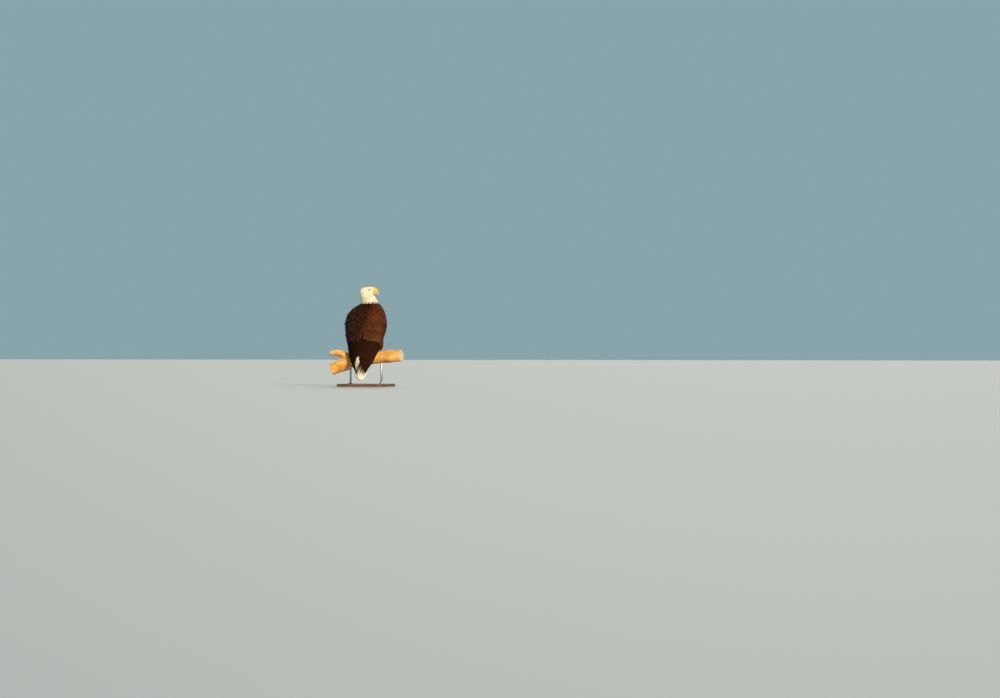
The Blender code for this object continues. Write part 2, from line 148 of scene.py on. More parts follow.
stage = {
    "aim": Vector((-0.982, -0.357, 0.293)),  # middle of the view; the bird stands left of it
    "azimuth": 200,
    "distance": 26.0,
    "viewWidth": 7.8,                        # metres across the view at the bird
    "floorSize": 120.0,
    "floorColour": (0.26, 0.29, 0.32),
    "skyColour": (0.40, 0.60, 0.66),
    "skyStrength": 0.62,
    # name, shares towards the camera, to its right and up, strength, width in degrees, colour
    "lamps": (("key", 0.92, 0.40, 0.38, 4.6, 10, (1.0, 0.79, 0.51)),
              ("fill", 0.70, -0.90, 0.45, 0.14, 70, (0.90, 0.95, 1.0)),
              ("front", -0.90, 0.10, 0.60, 2.2, 40, (1.0, 0.93, 0.84))),
}


def buildStage(s):
    turn = math.radians(s["azimuth"])
    towards = Vector((math.sin(turn), -math.cos(turn), 0))   # from the bird to the camera
    right = Vector((math.cos(turn), math.sin(turn), 0))
    bpy.ops.object.camera_add(location=s["aim"] + towards * s["distance"])
    camera = bpy.context.object
    camera.name = "camera"
    camera.rotation_euler = (-towards).to_track_quat("-Z", "Y").to_euler()
    camera.data.lens = camera.data.sensor_width * s["distance"] / s["viewWidth"]
    camera.data.clip_end = 200
    bpy.context.scene.camera = camera

    bpy.ops.mesh.primitive_grid_add(x_subdivisions=8, y_subdivisions=8, size=s["floorSize"])
    floor = bpy.context.object
    floor.name = "floor"

    for name, near, aside, above, strength, width, colour in s["lamps"]:
        place = towards * near + right * aside + Vector((0, 0, above))
        bpy.ops.object.light_add(type="SUN", location=s["aim"] + place * 6)
        lamp = bpy.context.object
        lamp.name = name
        lamp.rotation_euler = (-place).to_track_quat("-Z", "Y").to_euler()
        lamp.data.angle = math.radians(width)
        lamp.data.energy = strength
        lamp.data.color = colour
    bpy.context.scene.view_settings.view_transform = "Standard"
    return floor


floor = buildStage(stage)
print("stage ready")

# ---- shader nodes ----


class Value:
    def __init__(self, look, socket):
        self.look, self.socket = look, socket

    def math(self, operation, *others, turned=False):
        given = [self, *others]
        if turned:
            given.reverse()
        return self.look.node("Math", {"operation": operation}, dict(enumerate(given)))

    def __add__(self, other):
        return self.math("ADD", other)

    def __sub__(self, other):
        return self.math("SUBTRACT", other)

    def __rsub__(self, other):
        return self.math("SUBTRACT", other, turned=True)

    def __mul__(self, other):
        return self.math("MULTIPLY", other)

    def __truediv__(self, other):
        return self.math("DIVIDE", other)

    def __abs__(self):
        return self.math("ABSOLUTE")

    def sine(self):
        return self.math("SINE")

    def most(self, other):
        return self.math("MAXIMUM", other)

    def rise(self, low, high):   # 0 below low, 1 above high, smooth between
        return self.look.node("MapRange", {"interpolation_type": "SMOOTHSTEP"},
                              {"Value": self, "From Min": low, "From Max": high})


class Look:
    def __init__(self, name, **constants):
        self.material = bpy.data.materials.new(name)
        self.material.use_nodes = True
        self.tree = self.material.node_tree
        self.tree.nodes.clear()
        self.shader = self.tree.nodes.new("ShaderNodeBsdfPrincipled")
        output = self.tree.nodes.new("ShaderNodeOutputMaterial")
        self.tree.links.new(self.shader.outputs[0], output.inputs["Surface"])
        for key, value in constants.items():
            self.shader.inputs[key.replace("_", " ")].default_value = value

    def node(self, kind, settings=None, values=None, output=0):
        made = self.tree.nodes.new("ShaderNode" + kind)
        for key, value in (settings or {}).items():
            setattr(made, key, value)
        for key, value in (values or {}).items():
            socket = made.inputs[key]
            if isinstance(value, Value):
                self.tree.links.new(value.socket, socket)
            else:
                socket.default_value = value
        return Value(self, made.outputs[output])

    def place(self):
        return self.node("TexCoord", output="Object")

    def mapped(self, vector, scale=(1, 1, 1), turn=(0, 0, 0), shift=(0, 0, 0)):
        return self.node("Mapping", {}, {"Vector": vector, "Scale": scale, "Rotation": turn, "Location": shift})

    def noise(self, vector, scale, detail=3.0, roughness=0.5):
        return self.node("TexNoise", {}, {"Vector": vector, "Scale": scale, "Detail": detail,
                                          "Roughness": roughness})

    def cells(self, scale, feature="F1"):
        return self.node("TexVoronoi", {"feature": feature}, {"Vector": self.place(), "Scale": scale})

    def painted(self, name):   # a value that the mesh carries at each point
        return self.node("Attribute", {"attribute_name": name}, output="Fac")

    def mix(self, factor, first, second, blend="MIX"):
        first, second = (c if isinstance(c, Value) else (*c, 1.0) for c in (first, second))
        return self.node("Mix", {"data_type": "RGBA", "blend_type": blend}, {0: factor, 6: first, 7: second}, 2)

    def layered(self, base, *layers):   # each layer: how much of it there is, then its colour
        for share, colour in layers:
            base = self.mix(share, base, colour)
        return base

    def parts(self, vector):
        split = self.tree.nodes.new("ShaderNodeSeparateXYZ")
        self.tree.links.new(vector.socket, split.inputs[0])
        return [Value(self, s) for s in split.outputs]

    def feed(self, **values):
        for key, value in values.items():
            self.tree.links.new(value.socket, self.shader.inputs[key.replace("_", " ")])

    def relief(self, height, strength, distance):
        normal = self.node("Bump", {}, {"Height": height, "Strength": strength, "Distance": distance})
        self.feed(Normal=normal)


# a feather: barbs slant from the shaft, the edge and tip differ in tone, each feather a little of its own
def featherLook(name, dark, light, edge, shaft, edgeShare=0.5, barbs=46, barbDepth=0.25, rough=0.62,
                rootShade=0.55, sheen=0.15, gloss=0.15):
    look = Look(name, Roughness=rough, Specular_IOR_Level=gloss, Sheen_Weight=sheen, Sheen_Roughness=0.5)
    across, along, _ = look.parts(look.node("UVMap", {"uv_map": "vane"}))
    side = abs(across * 2 - 1)
    # the tone carries each feather's own variation and, on brown and flight feathers, painted sunlight and shade
    tone = look.painted("tone")
    patchy = look.noise(look.place(), 38, 3, 0.6)
    slant = (along * barbs - side * (barbs * 0.22)) * 2 * math.pi
    wobble = look.noise(look.mapped(look.node("UVMap", {"uv_map": "vane"}), (9, 60, 1)), 1.0, 2, 0.6)
    barb = (slant + wobble * 7).sine() * 0.5 + 0.5
    base = look.mix((tone * 0.75 + patchy * 0.5 - 0.12).rise(0.05, 0.95), dark, light)
    rim = side.rise(0.62, 1.0).most(along.rise(0.80, 1.0))
    base = look.mix(rim * edgeShare * (tone * 0.75 + 0.38), base, edge)
    root = 1 - along.rise(0.15, 0.75)
    shade = look.mix(1.0, base, (rootShade, rootShade, rootShade), "MULTIPLY")
    base = look.mix(root, base, shade)
    quill = (1 - side.rise(0.02, 0.07)) * (1 - along.rise(0.88, 0.99))
    base = look.mix(quill * 0.75, base, shaft)
    fine = look.mix(1.0, base, (0.72, 0.72, 0.72), "MULTIPLY")
    base = look.mix((1 - barb) * barbDepth, base, fine)
    look.feed(Base_Color=base, Roughness=wobble * 0.16 + (rough - 0.08))
    look.relief(barb * 0.5 + quill * 2, 0.5, 0.0004)
    return look.material


whiteFeather = featherLook("white feather", (0.80, 0.73, 0.54), (0.89, 0.84, 0.69), (0.91, 0.87, 0.75),
                           (0.75, 0.68, 0.52), edgeShare=0.4, barbs=22, barbDepth=0.22, rootShade=0.84)
brownFeather = featherLook("brown feather", (0.0120, 0.0038, 0.0014), (0.095, 0.0265, 0.0078),
                           (0.145, 0.0450, 0.0140), (0.011, 0.0045, 0.0021), edgeShare=0.65, barbs=26,
                           rootShade=0.5, sheen=0.0, rough=0.7, gloss=0.09)
wingFeather = featherLook("wing covert feather", (0.0130, 0.0043, 0.0017), (0.090, 0.0255, 0.0078),
                          (0.148, 0.0475, 0.0150), (0.010, 0.0042, 0.0020), edgeShare=0.65, barbs=30,
                          rootShade=0.5, sheen=0.0, rough=0.68, gloss=0.09)
flightFeather = featherLook("flight feather", (0.0068, 0.0023, 0.0009), (0.0185, 0.0056, 0.0017),
                            (0.040, 0.0120, 0.0036), (0.036, 0.0160, 0.0062), edgeShare=0.55, barbs=90,
                            barbDepth=0.35, rough=0.62, rootShade=0.7, sheen=0.0, gloss=0.05)
# the tail's white is painted lighter than the other white feathers, as painted light where the closed wings
# shade the tail
litTailFeather = featherLook("tail feather", (0.86, 0.79, 0.61), (0.94, 0.90, 0.76), (0.96, 0.93, 0.82),
                          (0.80, 0.70, 0.50), edgeShare=0.4, barbs=90, barbDepth=0.30, rough=0.55,
                          rootShade=0.85)

collar = {"height": 0.650, "ragged": 0.006}   # where the white neck meets the dark body


def skinLook():
    look = Look("skin under the feathers", Roughness=0.85, Specular_IOR_Level=0.2)
    _, _, z = look.parts(look.place())
    wander = look.noise(look.place(), 60, 2)
    white = (z + (wander - 0.5) * 2 * collar["ragged"]).rise(collar["height"] - 0.002, collar["height"] + 0.002)
    down = look.noise(look.place(), 420, 3)
    pale = look.mix(down, (0.66, 0.62, 0.53), (0.84, 0.81, 0.73))
    dusk = look.mix(down, (0.010, 0.006, 0.004), (0.026, 0.015, 0.009))
    look.feed(Base_Color=look.mix(white, dusk, pale))
    look.relief(down, 0.6, 0.0006)
    return look.material


skinFinish = skinLook()
print("feather looks ready")

# ---- the body's form, on which all the plumage lies ----

form = {
    "squareness": 2.2,
    # height, lean to the left, half width, back, front
    "body": ((0.660, -0.003, 0.060, -0.024, -0.135), (0.628, 0.000, 0.099, 0.011, -0.143),
             (0.580, 0.010, 0.140, 0.047, -0.144), (0.535, 0.012, 0.157, 0.061, -0.141),
             (0.480, 0.010, 0.1645, 0.074, -0.134), (0.400, 0.010, 0.1475, 0.091, -0.109),
             (0.320, 0.004, 0.1280, 0.105, -0.062), (0.250, 0.000, 0.1150, 0.118, -0.014),
             (0.170, 0.000, 0.1050, 0.134, 0.038), (0.070, 0.000, 0.0790, 0.150, 0.074)),
    # a closed wing's edges: height, then turns from the middle of the back in degrees
    "leftWing": ((0.640, 44, 92), (0.580, 34, 116), (0.500, 22, 124), (0.420, 10, 118), (0.340, 0, 104),
                 (0.280, -1, 82), (0.245, 2, 62), (0.225, 7, 53), (0.207, 13, 47), (0.187, 21, 38),
                 (0.150, 13, 29), (0.120, 4, 19), (0.095, -1, 9)),
    "rightWing": ((0.640, 44, 92), (0.580, 34, 116), (0.500, 22, 124), (0.420, 10, 118), (0.340, 1, 104),
                  (0.280, -2, 90), (0.245, -5, 74), (0.225, -6, 70), (0.192, 3, 64), (0.150, -2, 47),
                  (0.074, -8, 32)),
    "eyes": Vector((0.004, -0.078, 0.755)),   # midway between them
    "headTurn": math.radians(200),            # where the bill points, from +X
    "eyeSide": 0.0215, "eyeRadius": 0.0112,
    "voxel": 0.0035,
    "coat": 0.0055, "headCoat": 0.0015,       # how deep the skin lies under the feather tips
    "headFrom": 0.675, "headBlend": 0.03,     # the height where the thinner coat begins
    "thinShare": 0.42,                        # the most of a thin part's depth that the coat may take
}


# a smooth curve through a table's rows, at many places at once
def along(table, at):
    rows = np.array(sorted(table), float)
    at = np.clip(np.asarray(at, float), rows[0, 0], rows[-1, 0])
    k = np.clip(np.searchsorted(rows[:, 0], at) - 1, 0, len(rows) - 2)
    before, after = np.maximum(k - 1, 0), np.minimum(k + 2, len(rows) - 1)
    span = rows[k + 1, 0] - rows[k, 0]
    t = ((at - rows[k, 0]) / span)[..., None]
    span = span[..., None]
    low, high = rows[k, 1:], rows[k + 1, 1:]
    leave = span * (high - rows[before, 1:]) / (rows[k + 1, 0] - rows[before, 0])[..., None]
    arrive = span * (rows[after, 1:] - low) / (rows[after, 0] - rows[k, 0])[..., None]
    found = ((2 * t**3 - 3 * t**2 + 1) * low + (t**3 - 2 * t**2 + t) * leave
             + (3 * t**2 - 2 * t**3) * high + (t**3 - t**2) * arrive)
    return np.moveaxis(found, -1, 0)


def smoothPath(places, count):
    table = [(k, *p) for k, p in enumerate(places)]
    return along(table, np.linspace(0, len(places) - 1, count)).T


def bodyPoint(height, turn):
    lean, half, back, front = along(form["body"], height)
    power = 2 / form["squareness"]
    s, c = np.sin(turn), np.cos(turn)
    x = lean + half * np.abs(s) ** power * np.sign(s)
    y = (back + front) / 2 + (back - front) / 2 * np.abs(c) ** power * np.sign(c)
    return np.stack([x, y, np.broadcast_to(height, x.shape)], -1)


def bodyNormal(height, turn):
    step = 1e-3
    around = bodyPoint(height, turn + step) - bodyPoint(height, turn - step)
    down = bodyPoint(height - step, turn) - bodyPoint(height + step, turn)
    return unit(np.cross(around, down))


def wingTurn(side, across, height):
    inner, outer = np.radians(along(form["leftWing" if side > 0 else "rightWing"], height))
    return side * (inner + (outer - inner) * across)


# the turn round the body's middle, from the back towards the bird's left
def turnOf(spots):
    lean, half, back, front = along(form["body"], spots[..., 2])
    power = form["squareness"] / 2
    x, y = (spots[..., 0] - lean) / half, (spots[..., 1] - (back + front) / 2) / ((back - front) / 2)
    return np.arctan2(np.abs(x) ** power * np.sign(x), np.abs(y) ** power * np.sign(y))


headAhead = np.array([math.cos(form["headTurn"]), math.sin(form["headTurn"]), 0.0])
headLeft = np.array([-headAhead[1], headAhead[0], 0.0])
headUp = np.array([0.0, 0.0, 1.0])
eyesAt = np.array(form["eyes"])


def toHead(spots):   # ahead, left, up from midway between the eyes
    away = spots - eyesAt
    return np.stack([away @ headAhead, away @ headLeft, away @ headUp], -1)


def fromHead(spots):
    spots = np.asarray(spots, float)
    return eyesAt + spots[..., :1] * headAhead + spots[..., 1:2] * headLeft + spots[..., 2:3] * headUp


fleshNodes = ("head", "neck", "trunk", "wing_left", "wing_right", "leg_left", "leg_right")


def treeOf(mesh):
    return BVHTree.FromPolygons(points(mesh).tolist(), [tuple(f.vertices) for f in mesh.polygons])


def nearest(tree, spots):
    shape = spots.shape
    flat = spots.reshape(-1, 3)
    found, normals = np.empty_like(flat), np.empty_like(flat)
    for i, spot in enumerate(flat.tolist()):
        where, normal, _, _ = tree.find_nearest(spot)
        found[i], normals[i] = where, normal
    return found.reshape(shape), normals.reshape(shape)


guide = mergedCopy("guide", *fleshNodes)
applied(guide, "REMESH", mode="VOXEL", voxel_size=form["voxel"])
applied(guide, "SMOOTH", factor=0.5, iterations=4)
socket = {
    "ahead": 0.0035, "clear": 0.0145, "round": 0.0240,   # the hollow's middle and reach, then the cheek's reach
    "cheek": 0.012, "hollow": 0.004, "front": 0.027,     # least distance aside, then how far ahead
    "blend": 0.0015, "soft": 0.006,
}


# the eye sockets are closed over, so that lids and feathers lie on the cheek's own round
def fillSockets():
    spots = points(guide.data)
    placed = toHead(spots)
    reach = np.hypot(placed[:, 0] - socket["ahead"], placed[:, 2])

    def terms(p):
        a, u = p[:, 0], p[:, 2]
        return np.stack([a * 0 + 1, a, u, a * a, a * u, u * u, a**3, a * a * u, a * u * u, u**3], -1)

    for side in (1, -1):
        outer = (placed[:, 1] * side > socket["cheek"]) & (reach > socket["clear"]) & (reach < socket["round"])
        outer &= placed[:, 0] < socket["front"]
        fit, *_ = np.linalg.lstsq(terms(placed[outer]), placed[outer, 1], rcond=None)
        inner = (placed[:, 1] * side > socket["hollow"]) & (reach < socket["clear"])
        share = ease((socket["clear"] - reach[inner]) / socket["blend"])
        moved = (terms(placed[inner]) @ fit - placed[inner, 1]) * share
        spots[inner] += moved[:, None] * headLeft
    movePoints(guide, spots)
    near = (np.abs(placed[:, 1]) > 0.006) & (reach < socket["round"]) & (placed[:, 0] < socket["front"])
    group = guide.vertex_groups.new(name="sockets")
    share = ease((socket["round"] - reach) / socket["soft"]) * near
    for i in np.nonzero(share)[0].tolist():
        group.add([i], float(share[i]), "REPLACE")
    applied(guide, "SMOOTH", factor=0.5, iterations=8, vertex_group="sockets")
    applied(guide, "REMESH", mode="VOXEL", voxel_size=form["voxel"])
    applied(guide, "SMOOTH", factor=0.5, iterations=2)


fillSockets()
guideBrow = {
    # ahead and up from between the eyes
    "line": ((0.0250, 0.0064), (0.0150, 0.0080), (0.0050, 0.0098), (-0.0060, 0.0106), (-0.0165, 0.0085)),
    "wide": 0.0042, "out": 0.0036, "steps": 60,
}


# the bony shelf over each eye
def raiseBrow():
    spots = points(guide.data)
    placed = toHead(spots)
    line = smoothPath(guideBrow["line"], guideBrow["steps"])
    near = (np.abs(placed[:, 1]) > 0.018) & (np.abs(placed[:, 0]) < 0.04) & (placed[:, 2] > -0.02)
    near = np.nonzero(near)[0]
    gaps = np.linalg.norm(placed[near][:, None, [0, 2]] - line[None], axis=2)
    share = gaps.argmin(1) / (guideBrow["steps"] - 1)
    push = guideBrow["out"] * np.exp(-((gaps.min(1) / guideBrow["wide"]) ** 2)) * np.sin(np.pi * share) ** 0.5
    spots[near] += (np.sign(placed[near, 1]) * push)[:, None] * headLeft
    movePoints(guide, spots)


raiseBrow()
guideTree = treeOf(guide.data)


# which flesh node lies nearest each face of the guide
def labelFaces():
    corners, faces, owner = [], [], []
    for k, name in enumerate(fleshNodes):
        mesh = nodes[name].data
        start = sum(len(c) for c in corners)
        corners.append(points(mesh))
        for face in mesh.polygons:
            faces.append([start + v for v in face.vertices])
            owner.append(k)
    tree = BVHTree.FromPolygons(np.concatenate(corners).tolist(), faces)
    centres = np.empty(len(guide.data.polygons) * 3)
    guide.data.polygons.foreach_get("center", centres)
    return np.array([owner[tree.find_nearest(c)[2]] for c in centres.reshape(-1, 3).tolist()])


guideLabels = labelFaces()


# the skin: the same form, sunk by the coat's depth or less where the form is thin
def buildSkin():
    skin = newObject("skin", guide.data.copy())
    spots = points(skin.data)
    normals = pointNormals(skin)
    deep = np.empty(len(spots))
    for i, (spot, normal) in enumerate(zip(spots, normals)):
        hit = guideTree.ray_cast(Vector(spot - normal * 2e-4), Vector(-normal))
        deep[i] = hit[3] if hit[3] is not None else 0.02
    head = ease((spots[:, 2] - form["headFrom"]) / form["headBlend"])
    coat = form["coat"] * (1 - head) + form["headCoat"] * head
    sunk = np.minimum(coat, deep * form["thinShare"])
    movePoints(skin, spots - normals * sunk[:, None])
    applied(skin, "SMOOTH", factor=0.5, iterations=3)
    finished(skin, skinFinish, "brown_feather", *fleshNodes)
    print("skin ready:", len(skin.data.polygons), "faces")


buildSkin()

# ---- feather shapes ----

# outline: half widths from root to tip as shares of the widest
featherShapes = {
    "face": {"long": 0.0062, "wide": 0.0022, "across": 2, "outline": (0.45, 1.0, 0.72, 0.06),
             "thick": 0.00012, "ridge": 0.00014, "ragged": 0.12, "kinds": 4},
    "crown": {"long": 0.0120, "wide": 0.0042, "across": 2, "outline": (0.40, 0.92, 0.95, 0.62, 0.06),
              "thick": 0.00016, "ridge": 0.00026, "ragged": 0.12, "kinds": 4},
    "hackle": {"long": 0.024, "wide": 0.0075, "across": 2, "outline": (0.30, 0.80, 1.0, 0.88, 0.62, 0.36, 0.05),
               "thick": 0.00025, "ridge": 0.0005, "ragged": 0.13, "kinds": 5},
    "body": {"long": 0.030, "wide": 0.0190, "across": 4, "outline": (0.22, 0.66, 0.93, 1.0, 0.95, 0.74, 0.30),
             "thick": 0.0003, "ridge": 0.0004, "ragged": 0.10, "kinds": 5},
    "thigh": {"long": 0.036, "wide": 0.0125, "across": 2, "thick": 0.0003, "ridge": 0.0004, "ragged": 0.12,
              "outline": (0.30, 0.80, 1.0, 0.95, 0.80, 0.55, 0.12), "kinds": 5},
    "covert": {"long": 0.028, "wide": 0.0180, "across": 4, "outline": (0.30, 0.78, 0.98, 1.0, 0.97, 0.82, 0.42),
               "thick": 0.0003, "ridge": 0.0004, "ragged": 0.05, "kinds": 4},
    "longCovert": {"long": 0.090, "wide": 0.0260, "across": 6, "thick": 0.0004, "ridge": 0.0007, "ragged": 0.020,
                   "outline": (0.40, 0.75, 0.92, 0.99, 1.0, 1.0, 1.0, 1.0, 0.98, 0.94, 0.84, 0.62, 0.28),
                   "kinds": 3},
    "flight": {"long": 0.200, "wide": 0.0340, "across": 8, "thick": 0.0004, "ridge": 0.0006, "ragged": 0.010,
               "outline": (0.30, 0.55, 0.78, 0.90, 0.96, 0.99, 1, 1, 1, 1, 1, 1, 1, 1, 1, 1, 1, 1, 1, 1, 1,
                           0.99, 0.97, 0.94, 0.89, 0.81, 0.69, 0.50, 0.22),
               "kinds": 4},
    "primary": {"long": 0.220, "wide": 0.0240, "across": 8, "thick": 0.0004, "ridge": 0.0006, "ragged": 0.010,
                "outline": (0.40, 0.62, 0.80, 0.90, 0.96, 1, 1, 1, 1, 1, 1, 0.99, 0.98, 0.97, 0.95, 0.93, 0.90,
                            0.87, 0.84, 0.79, 0.73, 0.66, 0.59, 0.52, 0.45, 0.37, 0.28, 0.18, 0.06),
                "kinds": 4},
    "rectrix": {"long": 0.280, "wide": 0.0360, "across": 8, "thick": 0.0004, "ridge": 0.0006, "ragged": 0.006,
                "outline": (0.30, 0.50, 0.66, 0.78, 0.86, 0.92, 0.96, 1, 1, 1, 1, 1, 1, 1, 1, 1, 1, 1, 1, 1, 1,
                            1, 1, 0.99, 0.97, 0.92, 0.83, 0.66, 0.36),
                "kinds": 4},
    "scute": {"long": 0.0056, "wide": 0.0150, "across": 8, "outline": (0.82, 1.0, 1.0, 0.94),
              "thick": 0.0006, "ridge": 0.0, "ragged": 0.02, "kinds": 2},
}


# modelled flat at its real size: root at the lower edge of a grid, then given a ridge, an outline and thickness
def vaneShape(kind, seed):
    s = featherShapes[kind]
    rng = np.random.default_rng(seed)
    rows = len(s["outline"]) - 1
    bpy.ops.mesh.primitive_grid_add(x_subdivisions=s["across"], y_subdivisions=rows, size=1)
    vane = bpy.context.object
    onlyThis(vane)
    bpy.ops.object.mode_set(mode="EDIT")
    bpy.ops.mesh.select_all(action="SELECT")
    bpy.ops.transform.resize(value=(s["wide"], s["long"], 1), center_override=(0, 0, 0))
    bpy.ops.transform.translate(value=(0, s["long"] / 2, 0))
    bpy.ops.object.mode_set(mode="OBJECT")
    spots = points(vane.data)
    row = np.rint(spots[:, 1] / s["long"] * rows).astype(int)
    u = spots[:, 0] / (s["wide"] / 2)
    ragged = 1 + s["ragged"] * rng.uniform(-1, 1, (rows + 1, 2))
    if s["across"] > 4:   # a few splits between the barbs
        for split in rng.integers(rows // 3, rows - 1, 3):
            ragged[split, rng.integers(2)] *= 0.92
    edge = np.array(s["outline"])[row] * ragged[row, (u > 0).astype(int)]
    spots[:, 0] = u * s["wide"] / 2 * edge
    spots[:, 1] += s["long"] * 0.03 * (1 - u**2) * (row == rows)
    middle = np.exp(-(u / 0.22) ** 2) * (1 - 0.6 * row / rows)
    spots[:, 2] = s["ridge"] * middle
    movePoints(vane, spots)
    applied(vane, "SOLIDIFY", thickness=s["thick"], offset=0)
    mesh = vane.data
    spots = points(mesh)
    shape = {
        "u": spots[:, 0] / (s["wide"] / 2), "v": np.clip(spots[:, 1] / s["long"], 0, 1.03), "h": spots[:, 2],
        "quads": np.array([f.vertices[:] for f in mesh.polygons]),
    }
    width = np.interp(shape["v"] * rows, range(rows + 1), s["outline"])
    shape["acrossVane"] = np.clip(shape["u"] / np.maximum(width, 0.05), -1, 1) * 0.5 + 0.5
    delete(vane)
    return shape


shapes = {kind: [vaneShape(kind, 11 + 7 * i) for i in range(s["kinds"])] for kind, s in featherShapes.items()}
print("feather shapes:", {kind: len(made[0]["quads"]) for kind, made in shapes.items()})


def meshFrom(name, spots, quads):
    mesh = bpy.data.meshes.new(name)
    mesh.vertices.add(len(spots))
    mesh.vertices.foreach_set("co", np.ascontiguousarray(spots, np.float32).ravel())
    mesh.loops.add(quads.size)
    mesh.loops.foreach_set("vertex_index", quads.astype(np.int32).ravel())
    mesh.polygons.add(len(quads))
    mesh.polygons.foreach_set("loop_start", np.arange(0, quads.size, 4, dtype=np.int32))
    mesh.polygons.foreach_set("use_smooth", np.ones(len(quads), bool))
    mesh.update(calc_edges=True)
    mesh.validate()
    return mesh


paintedLight = {
    "edge": ((0.32, 26), (0.43, -4), (0.62, -30)),   # height, turn: the redder feathers right of this line carry painted sunlight, those left of it painted shade
    "fresh": (0.0, 0.28), "sunlit": (0.46, 0.54), "breast": (0.12, 0.62),   # tone: least, range; the first for the painted shade, the second for the painted sunlight, the third for the breast
}


# painted light and shade: the bird's left side is painted dark as in shade, its right wing and back lighter and
# redder as in sunlight
def paintedLightTones(tones, spots):
    turn = np.degrees(turnOf(spots))
    heights, turns = np.array(paintedLight["edge"]).T
    red = ease((np.interp(spots[:, 2], heights, turns) - turn) / 26 + 0.5)
    back = ease((125 - np.abs(turn)) / 25)
    fresh, sunlit, breast = (paintedLight[k][0] + paintedLight[k][1] * tones for k in ("fresh", "sunlit", "breast"))
    return (fresh * (1 - red) + sunlit * red) * back + breast * (1 - back)


# feathers along paths on the form, each a wrapped copy of a shape, joined into one piece
def plumage(name, kind, paths, normals, widths, look, slotName, places, *replaced, sink=0.004, flare=0.0,
            roll=0.0, camber=0.22, lift=0.0, seed=1, patch=0.003, stir=0.0003):
    count, stations = paths.shape[:2]
    rng = np.random.default_rng(seed)
    picks = rng.integers(len(shapes[kind]), size=count)
    tones = rng.random(count)
    # painted sunlight and shade go into the brown and flight feathers' tones
    if slotName in ("brown_feather", "flight_feather"):
        tones = paintedLightTones(tones, paths[:, stations // 2])
    lift = np.broadcast_to(lift, count) + rng.uniform(-stir, stir, count)
    sink, roll, flare = (np.broadcast_to(x, count) for x in (sink, roll, flare))
    tangents = unit(np.gradient(paths, axis=1))
    sides = unit(np.cross(tangents, normals))
    normals = unit(np.cross(sides, tangents))
    spots, quads, vaneMap, bakeMap, toneList = [], [], [], [], []
    start = 0
    for pick, shape in enumerate(shapes[kind]):
        chosen = np.nonzero(picks == pick)[0]
        if not len(chosen):
            continue
        u, v, h = shape["u"], shape["v"], shape["h"]
        step = np.clip(v, 0, 1) * (stations - 1)
        k = np.minimum(step.astype(int), stations - 2)
        f = (v * (stations - 1) - k)[None, :, None]
        centre = paths[chosen][:, k] * (1 - f) + paths[chosen][:, k + 1] * f
        side = sides[chosen][:, k] * (1 - f) + sides[chosen][:, k + 1] * f
        out = normals[chosen][:, k] * (1 - f) + normals[chosen][:, k + 1] * f
        half = widths[chosen, None] / 2
        rise = (h + lift[chosen, None] - sink[chosen, None] * np.clip(1 - v, 0, 1) ** 1.5
                + flare[chosen, None] * v**3 - camber * half * u**2 + roll[chosen, None] * half * u)
        spots.append((centre + side * (u * half)[..., None] + out * rise[..., None]).reshape(-1, 3))
        offsets = start + len(u) * np.arange(len(chosen))
        quads.append((shape["quads"][None] + offsets[:, None, None]).reshape(-1, 4))
        start += len(u) * len(chosen)
        corner = shape["quads"].ravel()
        vane = np.stack([shape["acrossVane"], np.clip(v, 0, 1)], -1)[corner]
        vaneMap.append(np.tile(vane, (len(chosen), 1)))
        bake = places[chosen][:, None] + (vane[None] - 0.5) * patch
        bakeMap.append(bake.reshape(-1, 2))
        toneList.append(np.repeat(tones[chosen], len(u)))
    mesh = meshFrom(name, np.concatenate(spots), np.concatenate(quads))
    for mapName, values in (("OFBake", bakeMap), ("vane", vaneMap)):
        layer = mesh.uv_layers.new(name=mapName)
        layer.uv.foreach_set("vector", np.concatenate(values).astype(np.float32).ravel())
    piece = newObject(name, mesh)
    paint(piece, "tone", np.concatenate(toneList))
    finished(piece, look, slotName, *replaced)
    print(f"  {name}: {count} feathers, {2 * len(mesh.polygons)} triangles")


# the piece's own stretch of an unwrap of the skin: round the body and down it
def bodyPlaces(roots):
    turn, height = turnOf(roots), roots[:, 2]
    place = np.stack([turn, height], -1)
    low, high = place.min(0), place.max(0)
    return 0.01 + 0.98 * (place - low) / np.maximum(high - low, 1e-6)


def evenPlaces(count):
    return np.stack([(np.arange(count) + 0.5) / count, np.full(count, 0.5)], -1)


def headPlaces(roots):
    spots = toHead(roots)
    turn = np.arctan2(spots[:, 1], spots[:, 2] + 0.015)
    place = np.stack([turn, spots[:, 0] - 0.5 * np.abs(spots[:, 2])], -1)
    low, high = place.min(0), place.max(0)
    return 0.01 + 0.98 * (place - low) / (high - low)


